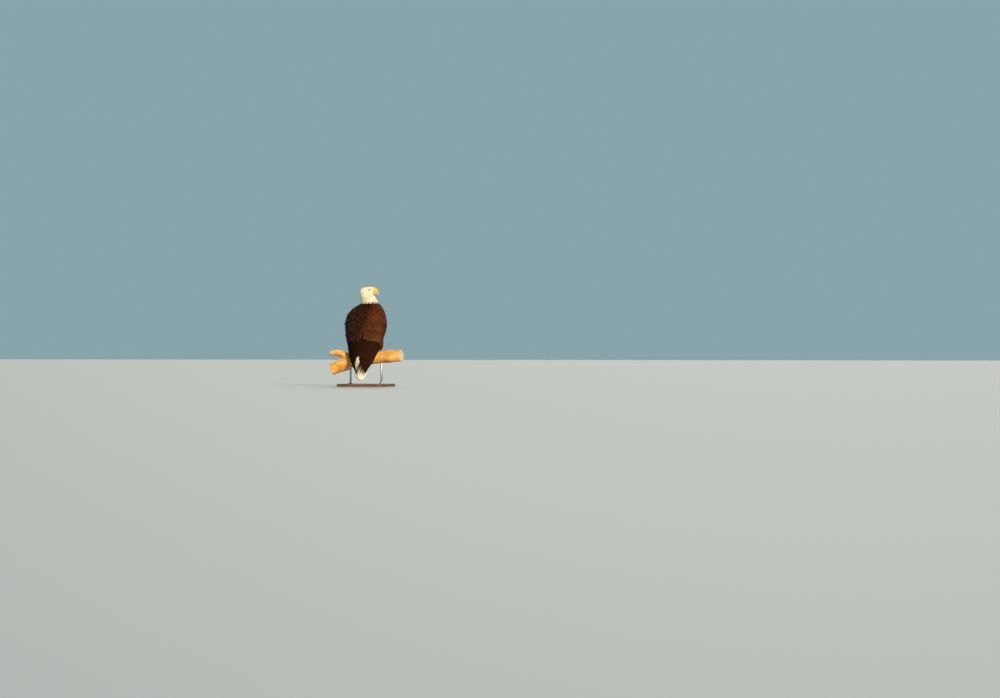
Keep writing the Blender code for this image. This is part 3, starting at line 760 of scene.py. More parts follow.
# evenly spaced but irregular roots on the guide, closer where the feathers are smaller
def scatter(labels, sizeAt, keep, seed, tries=7):
    mesh = guide.data
    count = len(mesh.polygons)
    centres, areas, normals = np.empty(count * 3), np.empty(count), np.empty(count * 3)
    mesh.polygons.foreach_get("center", centres)
    mesh.polygons.foreach_get("area", areas)
    mesh.polygons.foreach_get("normal", normals)
    centres, normals = centres.reshape(-1, 3), normals.reshape(-1, 3)
    chosen = np.isin(guideLabels, [fleshNodes.index(n) for n in labels]) & keep(centres, normals)
    chosen = np.nonzero(chosen)[0]
    centres, areas, normals = centres[chosen], areas[chosen], normals[chosen]
    weight = areas / sizeAt(centres) ** 2
    rng = np.random.default_rng(seed)
    picks = rng.choice(len(chosen), size=int(weight.sum() * tries), p=weight / weight.sum())
    normal = normals[picks]
    away = np.cross(normal, rng.normal(size=(len(picks), 3)))
    spots = centres[picks] + unit(away) * (np.sqrt(areas[picks]) * 0.6 * rng.random(len(picks)))[:, None]
    sizes = sizeAt(spots)
    cell = sizes.max()
    grid, kept = {}, []
    cells = np.floor(spots / cell).astype(int)
    for i, (cx, cy, cz) in enumerate(cells.tolist()):
        near = [j for dx in (-1, 0, 1) for dy in (-1, 0, 1) for dz in (-1, 0, 1)
                for j in grid.get((cx + dx, cy + dy, cz + dz), ())]
        if near:
            gap = spots[near] - spots[i]
            if (np.einsum("ij,ij->i", gap, gap) < (sizes[i] * 0.5 + sizes[near] * 0.5) ** 2).any():
                continue
        grid.setdefault((cx, cy, cz), []).append(i)
        kept.append(i)
    roots, normals = nearest(guideTree, spots[kept])
    return roots, normals, sizes[kept]


# each path follows the lie over the guide, a few steps from root to tip
def combed(roots, normals, lengths, lieAt, stations=4, wander=0.12, seed=5):
    rng = np.random.default_rng(seed)
    stray = rng.normal(size=len(roots)) * wander
    paths, outs = [roots], [normals]
    spots = roots
    for _ in range(stations - 1):
        lie = lieAt(spots, normals)
        lie = unit(lie - normals * (lie * normals).sum(-1, keepdims=True))
        aside = np.cross(normals, lie)
        lie = unit(lie + aside * stray[:, None])
        spots, normals = nearest(guideTree, spots + lie * (lengths / (stations - 1))[:, None])
        paths.append(spots)
        outs.append(normals)
    return np.stack(paths, 1), np.stack(outs, 1)


# ---- head and neck plumage ----

head = {
    "billRoot": (0.030, 0.0, 0.002),   # ahead, left, up from between the eyes
    "smallest": 0.00115, "largest": 0.0031,
    "eyeAhead": 0.0104, "eyeBehind": 0.0072, "eyeOver": 0.0076, "eyeUnder": 0.0066,   # kept clear of feathers
    "gape": ((0.0330, -0.0158), (0.0255, -0.0169), (0.0195, -0.0185), (0.0135, -0.0205)),   # ahead, up
    "gapeClear": 0.0029,
    "border": -0.024, "borderSlant": 0.45,   # hackles grow below this line, which rises to the nape
    "collarRoots": 0.667,              # the lowest white feathers grow from here
    "front": 0.0325, "nape": -0.030, "neckFrom": 0.735,
    "fine": 0.0021,                    # smaller ones are face feathers, larger ones crown feathers
    "face": (4.4, 1.45), "crown": (4.8, 1.65), "hackle": (4.8, 1.75),   # length and width in sizes
    "growsFrom": 0.028, "growsOver": 0.085, "neckSizes": (0.0030, 0.0022),
}
billRoot = fromHead(head["billRoot"])


def headLie(spots, normals):
    away = unit(spots - billRoot)
    low = ease((head["neckFrom"] - spots[:, 2]) / 0.05)[:, None]
    back = ease((head["nape"] - toHead(spots)[:, 0]) / 0.04)[:, None]
    down = np.array([0.0, 0.0, -1.0])
    return away * (1 - 0.75 * low) + down * (0.22 + 1.1 * low + 0.7 * back)


def headSize(spots):
    placed = toHead(spots)
    back = ease((head["growsFrom"] - placed[:, 0]) / head["growsOver"])
    return head["smallest"] + (head["largest"] - head["smallest"]) * back


def headKeep(spots, normals):
    placed = toHead(spots)
    ahead, up = placed[:, 0] - 0.001, placed[:, 2]
    reach = np.where(ahead > 0, head["eyeAhead"], head["eyeBehind"])
    upward = np.where(up > 0, head["eyeOver"] - 0.30 * ahead, head["eyeUnder"])
    clear = np.abs(ahead / reach) ** 2.3 + np.abs(up / upward) ** 2.3 > 1
    gapeAhead, gapeUp = np.array(sorted(head["gape"])).T
    lips = np.abs(up - np.interp(placed[:, 0], gapeAhead, gapeUp))
    clearance = 0.25 + (placed[:, 0] - 0.0135) / 0.018
    clearance += ease((placed[:, 0] - 0.0255) / 0.004) * np.where(up > head["gape"][0][1], 0.50, 0.05)
    onGape = (lips < head["gapeClear"] * clearance) & (placed[:, 0] > 0.0115)
    clear &= ~onGape
    clear |= np.abs(placed[:, 1]) < 0.012
    clear &= up > head["border"] - 0.010 - head["borderSlant"] * placed[:, 0]
    return clear & (placed[:, 0] < head["front"]) & (normals @ headAhead < 0.985)


def neckKeep(spots, normals):
    placed = toHead(spots)
    below = placed[:, 2] < head["border"] - head["borderSlant"] * placed[:, 0]
    return below & (spots[:, 2] > head["collarRoots"])


def neckSize(spots):
    least, more = head["neckSizes"]
    return least + more * ease((head["neckFrom"] - spots[:, 2]) / 0.06)


def buildHeadPlumage():
    roots, normals, sizes = scatter(["head", "neck"], headSize, headKeep, 21, tries=16)
    fine = sizes < head["fine"]
    for kind, these in (("face", fine), ("crown", ~fine)):
        longer, wider = head[kind]
        paths, outs = combed(roots[these], normals[these], sizes[these] * longer, headLie, 4, 0.17, 22)
        plumage("feathers_" + kind, kind, paths, outs, sizes[these] * wider, whiteFeather, "white_feather",
                headPlaces(roots[these]), sink=sizes[these] * 0.45, camber=0.20, seed=23, stir=0.00012)
    roots, normals, sizes = scatter(["neck", "head"], neckSize, neckKeep, 24)
    rng = np.random.default_rng(25)
    longer, wider = head["hackle"]
    lengths = sizes * (longer + 1.0 * rng.random(len(sizes)))
    paths, outs = combed(roots, normals, lengths, headLie, 5, 0.15, 26)
    plumage("feathers_neck", "hackle", paths, outs, sizes * wider, whiteFeather, "white_feather",
            bodyPlaces(roots), sink=0.0030, flare=0.0006 * rng.random(len(sizes)), lift=0.0005, seed=27,
            stir=0.0002)


# ---- the dark body plumage ----

body = {
    "collarRoots": 0.674,
    "small": 0.0062, "large": 0.0105,
    "loosest": 0.0140, "ruffle": 0.0190,   # how far the loosest feather tips stand off
    "ruffled": (40, 135, 0.36, 0.64),      # the ruffled left side: turns in degrees, heights
    "backEnds": 0.372, "shoulderEnds": 0.486,
    "underWing": (84, 0.285, 0.47),        # turn, heights
    "legSize": 0.0066, "underSize": 0.0105, "shoulderSizes": (0.0066, 0.0036),
    "scapularBack": 0.0035, "scapularWing": 0.0040,
    # shape, length and width in sizes, how deep the root lies, how far the tip stands off
    "kinds": {"body": ("body", 3.1, 2.05, 0.0048, 0.0010), "thigh": ("thigh", 5.4, 1.9, 0.0045, 0.0016),
              "small": ("covert", 3.0, 2.1, 0.0046, 0.0008), "under": ("covert", 3.0, 2.1, 0.0030, 0.0)},
}


def bodyLie(spots, normals):
    turn, height = turnOf(spots), spots[:, 2]
    side = np.where(turn >= 0, 1.0, -1.0)
    lower = np.maximum(height - 0.02, 0.08)
    lie = np.zeros_like(spots)
    lie[:, 2] = -1
    for hand, name in ((1.0, "leftWing"), (-1.0, "rightWing")):
        inner, outer = np.radians(along(form[name], height))
        share = (np.abs(turn) - inner) / (outer - inner)
        on = ease((share + 0.02) / 0.10) * ease((1.02 - share) / 0.06) * (side == hand) * (height < 0.63)
        follow = bodyPoint(lower, wingTurn(hand, share, lower)) - bodyPoint(height, turn)
        lie = lie * (1 - on[:, None]) + unit(follow) * on[:, None]
    return lie


# larger over the shoulder blades, where the back meets the wings
def scapularShare(spots):
    turn = np.degrees(np.abs(turnOf(spots)))
    middle = 40 - 150 * np.clip(0.58 - spots[:, 2], 0, 0.2)
    return np.exp(-((turn - middle) / 20) ** 2) * ease((0.625 - spots[:, 2]) / 0.05)


def bodySize(spots):
    down = ease((0.672 - spots[:, 2]) / 0.09)
    return body["small"] + (body["large"] - body["small"]) * down + body["scapularBack"] * scapularShare(spots)


def covertSize(spots):
    least, more = body["shoulderSizes"]
    return least + more * ease((0.62 - spots[:, 2]) / 0.14) + body["scapularWing"] * scapularShare(spots)


def legSize(spots):
    return np.full(len(spots), body["legSize"])


def underSize(spots):
    return np.full(len(spots), body["underSize"])


def outward(spots, normals):
    turn = turnOf(spots)
    return (normals[:, 0] * np.sin(turn) + normals[:, 1] * np.cos(turn)) > 0.1


def grow(name, kind, labels, sizeAt, keep, look, seed):
    shape, longer, wider, sink, flare = body["kinds"][kind]
    roots, normals, sizes = scatter(labels, sizeAt, keep, seed)
    rng = np.random.default_rng(seed + 1)
    lengths = sizes * longer * rng.uniform(0.88, 1.18, len(sizes))
    turn = np.degrees(turnOf(roots))
    first, last, lowest, highest = body["ruffled"]
    loose = ease((turn - first) / 30) * ease((last - turn) / 15) * ease((roots[:, 2] - lowest) / 0.06)
    loose *= 0.45 + 0.75 * ease(np.sin(roots[:, 2] * 172 + 2.0) * 0.5 + 0.5)   # in tufts
    loose = 0.09 + loose * ease((highest - roots[:, 2]) / 0.04)
    stands = body["ruffle"] * loose * rng.random(len(sizes)) ** 2.2
    paths, outs = combed(roots, normals, lengths, bodyLie, 4, 0.10, seed + 2)
    plumage(name, shape, paths, outs, sizes * wider, look, "brown_feather", bodyPlaces(roots), sink=sink,
            flare=flare + np.minimum(stands, body["loosest"]), seed=seed + 3)


def buildBodyPlumage():
    def low(spots, _):
        return spots[:, 2] < body["collarRoots"]

    def front(spots, normals):
        return low(spots, normals) & (np.abs(turnOf(spots)) > math.radians(90))

    def rear(spots, normals):   # none where the closed wings lie over them
        shown = low(spots, normals) & (spots[:, 2] > body["backEnds"])
        return shown & (np.abs(turnOf(spots)) <= math.radians(90))

    def shoulder(spots, normals):
        return (spots[:, 2] > body["shoulderEnds"]) & outward(spots, normals)

    def beneath(spots, normals):
        turn, lowest, highest = body["underWing"]
        edge = (np.abs(turnOf(spots)) > math.radians(turn)) & (spots[:, 2] > lowest)
        return edge & (spots[:, 2] < highest) & (normals[:, 1] < 0.35)

    trunk = ["trunk", "neck"]
    grow("feathers_breast", "body", trunk, bodySize, front, brownFeather, 31)
    grow("feathers_back", "body", trunk, bodySize, rear, brownFeather, 41)
    for hand in ("left", "right"):
        leg, wing = ["leg_" + hand], ["wing_" + hand]
        grow("feathers_thigh_" + hand, "thigh", leg, legSize, low, brownFeather, 51)
        grow("coverts_small_" + hand, "small", wing, covertSize, shoulder, wingFeather, 61)
        grow("coverts_under_" + hand, "under", wing, underSize, beneath, wingFeather, 71)


# ---- the long feathers of the wings ----

# roots and tips: share across the wing at the first feather, change to the last, the same for their height
wings = {
    "swell": 0.005,    # how far the closed wing's middle stands proud
    "thick": 0.012, "tipThick": 0.005,
    "overlap": {1: 0.0022, -1: 0.0},   # the left wing's tip (side 1) lies over the right one's
    "primaries": {"count": 7, "root": (0.34, 0.62, 0.400, -0.030), "wide": {1: 0.0230, -1: 0.0240},
                  "tip": {1: (0.22, 0.60, 0.096, 0.050), -1: (-0.08, 0.92, 0.079, 0.017)},
                  "uneven": 0.020},   # every other one of the right wing's ends higher, which parts the fingers
    "secondaries": {"count": 14, "root": (0.03, 0.93, 0.445, -0.035), "tip": (0.06, 0.80, 0.238, -0.026),
                    "wide": 0.0350},
    "unders": {"count": 11, "root": (0.08, 0.84, 0.400, -0.030), "tip": (0.14, 0.68, 0.268), "wide": 0.0310},
    "greaters": {"kind": "longCovert", "count": 15, "root": 0.478, "long": 0.108, "wide": 0.0300,
                 "slant": -0.040, "lift": 0.0040, "sink": 0.0032},
    "medians": {"kind": "covert", "count": 17, "root": 0.512, "long": 0.066, "wide": 0.0260,
                "slant": -0.034, "lift": 0.0034, "sink": 0.0070},
}


# a path down the wing from (share across, height) to another, on its outer or its inner side
def wingPath(side, start, end, stations, lift=0.0, beneath=False):
    t = np.linspace(0, 1, stations)
    across = start[0] + (end[0] - start[0]) * ease(t)
    height = start[1] + (end[1] - start[1]) * t
    turn = wingTurn(side, across, height)
    low = ease((0.34 - height) / 0.2)
    middle = np.clip(4 * across * (1 - across), 0, 1)
    outs = bodyNormal(height, turn)
    if beneath:
        thick = (wings["thick"] * (1 - low) + wings["tipThick"] * low) * (0.45 + 0.55 * middle)
        return bodyPoint(height, turn) - outs * (thick + lift)[:, None], -outs
    swell = wings["swell"] * middle * (1 - low) * (height < 0.62)
    return bodyPoint(height, turn) + outs * (swell + lift)[:, None], outs


def wingSet(name, kind, side, feathers, look, slotName, *replaced, stations=12, **more):
    made = [wingPath(side, f["root"], f["tip"], stations, f["lift"], f.get("beneath", False)) for f in feathers]
    paths, outs = np.stack([m[0] for m in made]), np.stack([m[1] for m in made])
    widths = np.array([f["wide"] for f in feathers])
    flare = np.array([f.get("flare", 0.0) for f in feathers])
    plumage(name, kind, paths, outs, widths, look, slotName, evenPlaces(len(feathers)), *replaced, flare=flare,
            **more)


def buildWing(side, hand):
    rng = np.random.default_rng(80 + side)
    over = wings["overlap"][side]

    def jitter(size):
        return rng.uniform(-size, size)

    def row(name):   # each feather's number, share of the way across and root
        s = wings[name]
        across, acrossMore, height, heightMore = s["root"]
        for k in range(s["count"]):
            share = k / (s["count"] - 1)
            yield k, share, (across + acrossMore * share, height + heightMore * share)

    primaries = []
    s = wings["primaries"]
    across, acrossMore, height, higher = s["tip"][side]
    for k, share, root in row("primaries"):
        up = higher * (1 - share)
        if side < 0:
            up = higher * (1 - share) ** 0.8 + s["uneven"] * (k % 2) + jitter(0.003)
        primaries.append({"root": root, "tip": (across + acrossMore * share, height + up),
                          "wide": s["wide"][side], "lift": 0.0012 - 0.0004 * k, "flare": over})
    wingSet("primary_feathers_" + hand, "primary", side, primaries, flightFeather, "flight_feather",
            "primaries_" + hand, stations=16, sink=0.001, roll=0.07 * side, camber=0.02, seed=81 + side,
            patch=0.05)

    secondaries = []
    s = wings["secondaries"]
    across, acrossMore, height, lower = s["tip"]
    for k, share, root in row("secondaries"):
        end = height + lower * math.sin(math.pi * min(1, share * 1.1)) + jitter(0.004)
        secondaries.append({"root": root, "tip": (across + acrossMore * share, end),
                            "wide": s["wide"] * (1.1 - 0.25 * share), "lift": 0.0034 - 0.00020 * k,
                            "flare": over * (1 - share)})
    wingSet("secondary_feathers_" + hand, "flight", side, secondaries, flightFeather, "flight_feather",
            stations=14, sink=0.004, roll=0.085 * side, camber=0.02, seed=83 + side, patch=0.05)

    unders = []
    s = wings["unders"]
    across, acrossMore, height = s["tip"]
    for k, share, root in row("unders"):
        end = height + jitter(0.006)
        unders.append({"root": root, "tip": (across + acrossMore * share, end), "beneath": True,
                       "wide": s["wide"], "lift": -0.0004 - 0.0001 * k})
    wingSet("under_feathers_" + hand, "flight", side, unders, flightFeather, "flight_feather", stations=10,
            sink=0.001, camber=0.03, seed=85 + side, patch=0.05)

    for name in ("greaters", "medians"):
        s = wings[name]
        feathers = []
        for k in range(s["count"]):
            share = (k + 0.5) / s["count"]
            root = s["root"] + s["slant"] * share + jitter(0.005)
            low = root - s["long"] * (1 + jitter(0.07))
            aside = 0.02 + 0.96 * share + jitter(0.015)
            feathers.append({"root": (0.01 + 0.98 * share, root), "tip": (aside, low),
                             "wide": s["wide"] * (1.08 - 0.2 * share), "lift": s["lift"]})
        wingSet(name + "_" + hand, s["kind"], side, feathers, wingFeather, "brown_feather", stations=8,
                sink=s["sink"], roll=0.075 * side, camber=0.02, seed=87 + side, patch=0.04, stir=0.0001)


# ---- tail ----

tail = {
    "tip": 0.055, "root": 0.335, "count": 12, "wide": 0.0365,
    "edgeUp": 0.020,                                   # how much higher the outer tips end
    "half": (0.034, 0.015), "thick": (0.030, -0.024),   # at the root, change towards the tip
    "coverts": 44, "covertsDown": 0.080, "covertLong": (0.066, 0.080), "covertWide": (0.0145, 0.0180),
}


def tailPoint(height, across, deep):
    down = (tail["root"] - height) / (tail["root"] - tail["tip"])
    back = along(form["body"], height)[2]
    half = tail["half"][0] + tail["half"][1] * ease(down * 1.6)
    thick = tail["thick"][0] + tail["thick"][1] * ease(down * 1.3)
    x = half * across - 0.010 * down**2
    y = back - 0.0062 - 0.07 * np.maximum(x, -0.012) - 0.004 * across**2 - thick * deep * (1 - 0.5 * across**2)
    return np.stack([x, y, np.broadcast_to(height, x.shape)], -1)


def buildTail():
    count = tail["count"]
    paths, outs, widths = [], [], []
    for k in range(count):
        share = 2 * k / (count - 1) - 1      # across the tail
        t = np.linspace(0, 1, 14)
        top = tail["root"] - 0.004
        low = tail["tip"] + 0.004 + tail["edgeUp"] * abs(share) ** 2.2
        height = top + (low - top) * t
        across = share * (0.25 + 0.43 * ease(t * 1.5))
        deep = 0.10 + 0.75 * abs(share)
        paths.append(tailPoint(height, across, deep))
        outs.append(unit(np.stack([across * 0.25, np.ones(14), np.full(14, 0.12)], -1)))
        widths.append(tail["wide"] * (1 - 0.06 * abs(share)))
    plumage("tail_feathers", "rectrix", np.stack(paths), np.stack(outs), np.array(widths), litTailFeather,
            "white_feather", evenPlaces(count), "tail", sink=0.0, camber=0.02, seed=101, patch=0.06,
            roll=0.05 * np.sign(np.linspace(-1, 1, count)))
    rng = np.random.default_rng(103)
    for name, deep, normal in (("tail_coverts_upper", 0.0, 1.0), ("tail_coverts_under", 1.0, -1.0)):
        paths, outs, widths = [], [], []
        for k in range(tail["coverts"]):
            layer = k / tail["coverts"]
            across = ((k * 0.618) % 1 * 2 - 1) * 0.85 + rng.uniform(-0.06, 0.06)
            start = tail["root"] - 0.004 - tail["covertsDown"] * layer
            long = rng.uniform(*tail["covertLong"])
            t = np.linspace(0, 1, 7)
            height = start - long * t
            spots = tailPoint(height, across * (0.8 + 0.1 * t), np.full(7, deep))
            spots[:, 1] += normal * (0.0040 - 0.0022 * layer) * (1 - 0.5 * (across < -0.1))
            paths.append(spots)
            outs.append(unit(np.stack([np.full(7, across * 0.3), np.full(7, normal), np.zeros(7)], -1)))
            widths.append(rng.uniform(*tail["covertWide"]))
        places = np.stack([np.linspace(0.05, 0.95, len(paths)), np.full(len(paths), 0.5)], -1)
        plumage(name, "longCovert", np.stack(paths), np.stack(outs), np.array(widths), whiteFeather,
                "white_feather", places, sink=0.004, camber=0.14, seed=105, patch=0.03)


buildHeadPlumage()
print("head and neck plumage ready")
buildBodyPlumage()
for side, hand in ((1, "left"), (-1, "right")):
    buildWing(side, hand)
buildTail()
print("body, wing and tail plumage ready")

# ---- rings joined into a closed form by extruding ----


def lofted(name, rings, cap=True):
    rings = [np.asarray(r, float) for r in rings]
    sides = len(rings[0])
    bpy.ops.mesh.primitive_circle_add(vertices=sides, radius=1, fill_type="NGON" if cap else "NOTHING")
    piece = bpy.context.object
    piece.name = name
    onlyThis(piece)
    latest = list(range(sides))
    place = points(piece.data)
    place[latest] = rings[0]
    movePoints(piece, place)
    for ring in rings[1:]:
        bpy.ops.object.mode_set(mode="EDIT")
        bpy.ops.mesh.extrude_region_move()
        bpy.ops.object.mode_set(mode="OBJECT")
        place = points(piece.data)
        fresh = [v.index for v in piece.data.vertices if v.select]
        gaps = np.linalg.norm(place[latest][:, None] - place[fresh][None], axis=2)
        latest = [fresh[i] for i in gaps.argmin(1)]
        place[latest] = ring
        movePoints(piece, place)
    bpy.ops.object.mode_set(mode="EDIT")
    bpy.ops.mesh.select_all(action="SELECT")
    bpy.ops.mesh.normals_make_consistent(inside=False)
    bpy.ops.object.mode_set(mode="OBJECT")
    return piece


# rings of a rounded cross-section along a path: wide across, deep up and down, square or round
def tubeRings(path, wide, deep, sides, up, squareness=2.0):
    path = np.asarray(path, float)
    tangents = unit(np.gradient(path, axis=0))
    up = np.broadcast_to(np.asarray(up, float), path.shape)
    across = unit(np.cross(tangents, up))
    rise = unit(np.cross(across, tangents))
    c, s = roundTurns(sides)
    power = 2 / squareness
    x = np.abs(s) ** power * np.sign(s)
    z = np.abs(c) ** power * np.sign(c)
    wide, deep = np.broadcast_to(wide, len(path)), np.broadcast_to(deep, len(path))
    return [p + np.outer(x * w, a) + np.outer(z * d, r)
            for p, a, r, w, d in zip(path, across, rise, wide, deep)]


def joined(name, pieces):
    onlyThis(pieces[0])
    for piece in pieces:
        piece.select_set(True)
    bpy.ops.object.join()
    pieces[0].name = name
    return pieces[0]


# ---- bill, cere, nostrils and gape ----

bill = {
    # share along, ridge ahead and up, cutting edge ahead and up, half width
    "upper": ((0.00, 0.0304, 0.0205, 0.0304, -0.0150, 0.0150), (0.17, 0.0430, 0.0180, 0.0385, -0.0152, 0.0142),
              (0.38, 0.0570, 0.0090, 0.0470, -0.0165, 0.0122), (0.58, 0.0675, -0.005, 0.0540, -0.0195, 0.0096),
              (0.78, 0.0728, -0.0215, 0.0612, -0.0270, 0.0062), (0.93, 0.0722, -0.0345, 0.0664, -0.0365, 0.0032),
              (1.00, 0.0706, -0.0415, 0.0688, -0.0412, 0.0010)),
    "start": 0.0304, "sides": 96,
    "cereEnd": 0.0420, "cereBow": 0.0030, "cereStep": 0.00045,
    "nostril": {"ahead": 0.0366, "up": 0.0035, "long": 0.0042, "narrow": 0.0018, "lean": 0.52, "deep": 0.0022},
    "lowerLong": 0.0315, "lowerHalf": 0.0112, "lowerFloor": (-0.0288, -0.0030, 0.0062), "lowerBack": 0.004,
    # how far behind the cere's back edge, and how much of its size
    "rounding": ((0.0030, 0.80), (0.0020, 0.87), (0.0012, 0.925), (0.0006, 0.965), (0.0002, 0.988)),
}


# 1 in the slit of a nostril, running up and back along the cere
def nostrilPit(ahead, up):
    n = bill["nostril"]
    a, b = ahead - n["ahead"], up - n["up"]
    lengthwise = -a * math.sin(n["lean"]) + b * math.cos(n["lean"])
    crosswise = a * math.cos(n["lean"]) + b * math.sin(n["lean"])
    return np.exp(-((lengthwise / n["long"]) ** 4) - np.abs(crosswise / n["narrow"]) ** 3)


# the cere's front edge bows forward halfway up
def cereFront(up):
    return bill["cereEnd"] + bill["cereBow"] * (1 - ((up - 0.001) / 0.019) ** 2)


def buildUpperBill():
    rings = []
    c, s = roundTurns(bill["sides"])
    top, low = np.abs(c) ** (2 / 2.05) * (c > 0), np.abs(c) ** (2 / 3.6) * (c < 0)
    for share in np.concatenate([np.linspace(0, 0.24, 44), np.linspace(0.24, 1, 56)[1:]]):
        ridgeX, ridgeZ, edgeX, edgeZ, half = along(bill["upper"], share)
        ridge, edge = np.array([ridgeX, 0, ridgeZ]), np.array([edgeX, 0, edgeZ])
        outward, deep = unit(ridge - edge), np.linalg.norm(ridge - edge)
        widest = 0.30 + 0.16 * share   # the section is widest low down, above the cutting edges
        y = half * np.where(c > 0, np.abs(s) ** (2 / 2.05), np.abs(s) ** (2 / 3.2)) * np.sign(s)
        up = widest + (1 - widest) * top - widest * low
        y = y * (1 - 0.20 * np.clip((up - 0.45) / 0.55, 0, 1))
        hollow = 0.0011 * np.exp(-(y / (0.62 * half)) ** 4) * (c < -0.2)   # the palate
        hollow = (hollow - 0.0008 * ease((-c - 0.1) / 0.4)) * (1 - share)
        spots = edge + (up * deep + hollow)[:, None] * outward + np.stack([0 * y, y, 0 * y], -1)
        x, y, z = spots.T
        horn = ease((x - cereFront(z)) / 0.0016)
        y = y * (1 - bill["cereStep"] / 0.014 * horn)
        groove = np.exp(-(((x - cereFront(z)) / 0.0007) ** 2))
        y = y - np.sign(y) * 0.00022 * groove * (np.abs(y) > 0.002)
        y = y - np.sign(y) * nostrilPit(x, z) * bill["nostril"]["deep"] * (np.abs(y) > 0.004)
        rings.append(fromHead(np.stack([x, y, z], -1)))
    middle = rings[0].mean(0)
    rounding = [middle + (rings[0] - middle) * size - headAhead * behind for behind, size in bill["rounding"]]
    finished(lofted("bill_upper_horn", rounding + rings), billFinish, "bill_horn", "bill_upper")
    return rings[0]


fringe = {"rows": (0.0000, 0.0009), "apart": 0.0010, "inside": 0.975, "long": 0.0042, "wide": 0.0018,
          "lowest": -0.0118, "lift": 0.0003}


# small feathers from the cere's back edge, which lie back over the seam
def buildFringe(edge):
    rng = np.random.default_rng(61)
    loop, middle = np.concatenate([edge, edge[:1]]), edge.mean(0)
    reach = np.concatenate([[0], np.cumsum(np.linalg.norm(np.diff(loop, axis=0), axis=1))])
    count = int(reach[-1] / fringe["apart"])
    starts = []
    for row, behind in enumerate(fringe["rows"]):
        at = (np.arange(count) + 0.5 * row + rng.uniform(-0.3, 0.3, count)) % count / count * reach[-1]
        spots = between(reach, loop, at)
        starts.append(middle + (spots - middle) * fringe["inside"] - headAhead * behind)
    starts = np.concatenate(starts)
    starts = starts[toHead(starts)[:, 2] > fringe["lowest"]]
    normals = nearest(guideTree, starts)[1]
    lengths = fringe["long"] * rng.uniform(0.8, 1.15, len(starts))
    paths, outs = combed(starts, normals, lengths, headLie, 4, 0.12, 62)
    shares = np.linspace(0, 1, 4)[None, :, None]
    straight = starts[:, None] * (1 - shares) + paths[:, -1:] * shares
    paths = np.where(((straight - paths) * outs).sum(-1, keepdims=True) > 0, straight, paths)
    plumage("feathers_fringe", "face", paths, outs, np.full(len(starts), fringe["wide"]), whiteFeather,
            "white_feather", headPlaces(starts), sink=0.0004, camber=0.20, lift=fringe["lift"], seed=63,
            stir=0.0001)


def buildLowerBill():
    rings = []
    levels, sides = 30, 48
    c, s = roundTurns(sides)
    edge = np.array([(row[3], row[4]) for row in bill["upper"]])
    for k in range(levels + 1):
        share = k / levels
        ahead = bill["start"] - bill["lowerBack"] + bill["lowerLong"] * share
        half = bill["lowerHalf"] * math.sqrt(1 - 0.93 * share**2.1)
        low, slope, bend = bill["lowerFloor"]
        floorUp = low + slope * share + bend * share**4
        roof = np.interp(ahead, edge[:, 0], edge[:, 1]) + 0.0006 * (1 - share) - 0.0004
        y = half * np.where(c > 0, np.abs(s) ** (2 / 4.0), np.abs(s) ** (2 / 2.1)) * np.sign(s)
        middle = floorUp + 0.60 * (roof - floorUp)
        z = np.where(c > 0, middle + (roof - middle) * np.abs(c) ** (2 / 4.0),
                     middle - (middle - floorUp) * np.abs(c) ** (2 / 2.1))
        soft = ease((ahead - bill["cereEnd"] + 0.003) / 0.0016)
        y = y * (1 - 0.03 * soft)
        rings.append(fromHead(np.stack([np.full(sides, ahead), y, z], -1)))
    finished(lofted("bill_lower_horn", rings), billFinish, "bill_horn", "bill_lower")


# ahead, up, half width, half depth
tongue = {"rows": ((0.0265, -0.0152, 0.0088, 0.0022), (0.0360, -0.0150, 0.0086, 0.0022),
                   (0.0440, -0.0160, 0.0064, 0.0018), (0.0500, -0.0182, 0.0022, 0.0008)),
          "squareness": 2.6}


# the tongue closes the mouth between the cutting edges
def buildTongue():
    ahead, up, wide, deep = np.array(tongue["rows"]).T
    path = fromHead(np.stack([ahead, 0 * ahead, up], -1))
    piece = lofted("tongue", tubeRings(path, wide, deep, 28, (0, 0, 1), tongue["squareness"]))
    applied(piece, "SUBSURF", levels=1, render_levels=1)
    look = Look("tongue skin", Roughness=0.5, Specular_IOR_Level=0.35)
    grain = look.noise(look.place(), 420, 3)
    look.feed(Base_Color=look.mix(grain, (0.10, 0.035, 0.022), (0.19, 0.075, 0.045)))
    look.relief(grain, 0.2, 0.0003)
    finished(piece, look.material, "bill_horn")


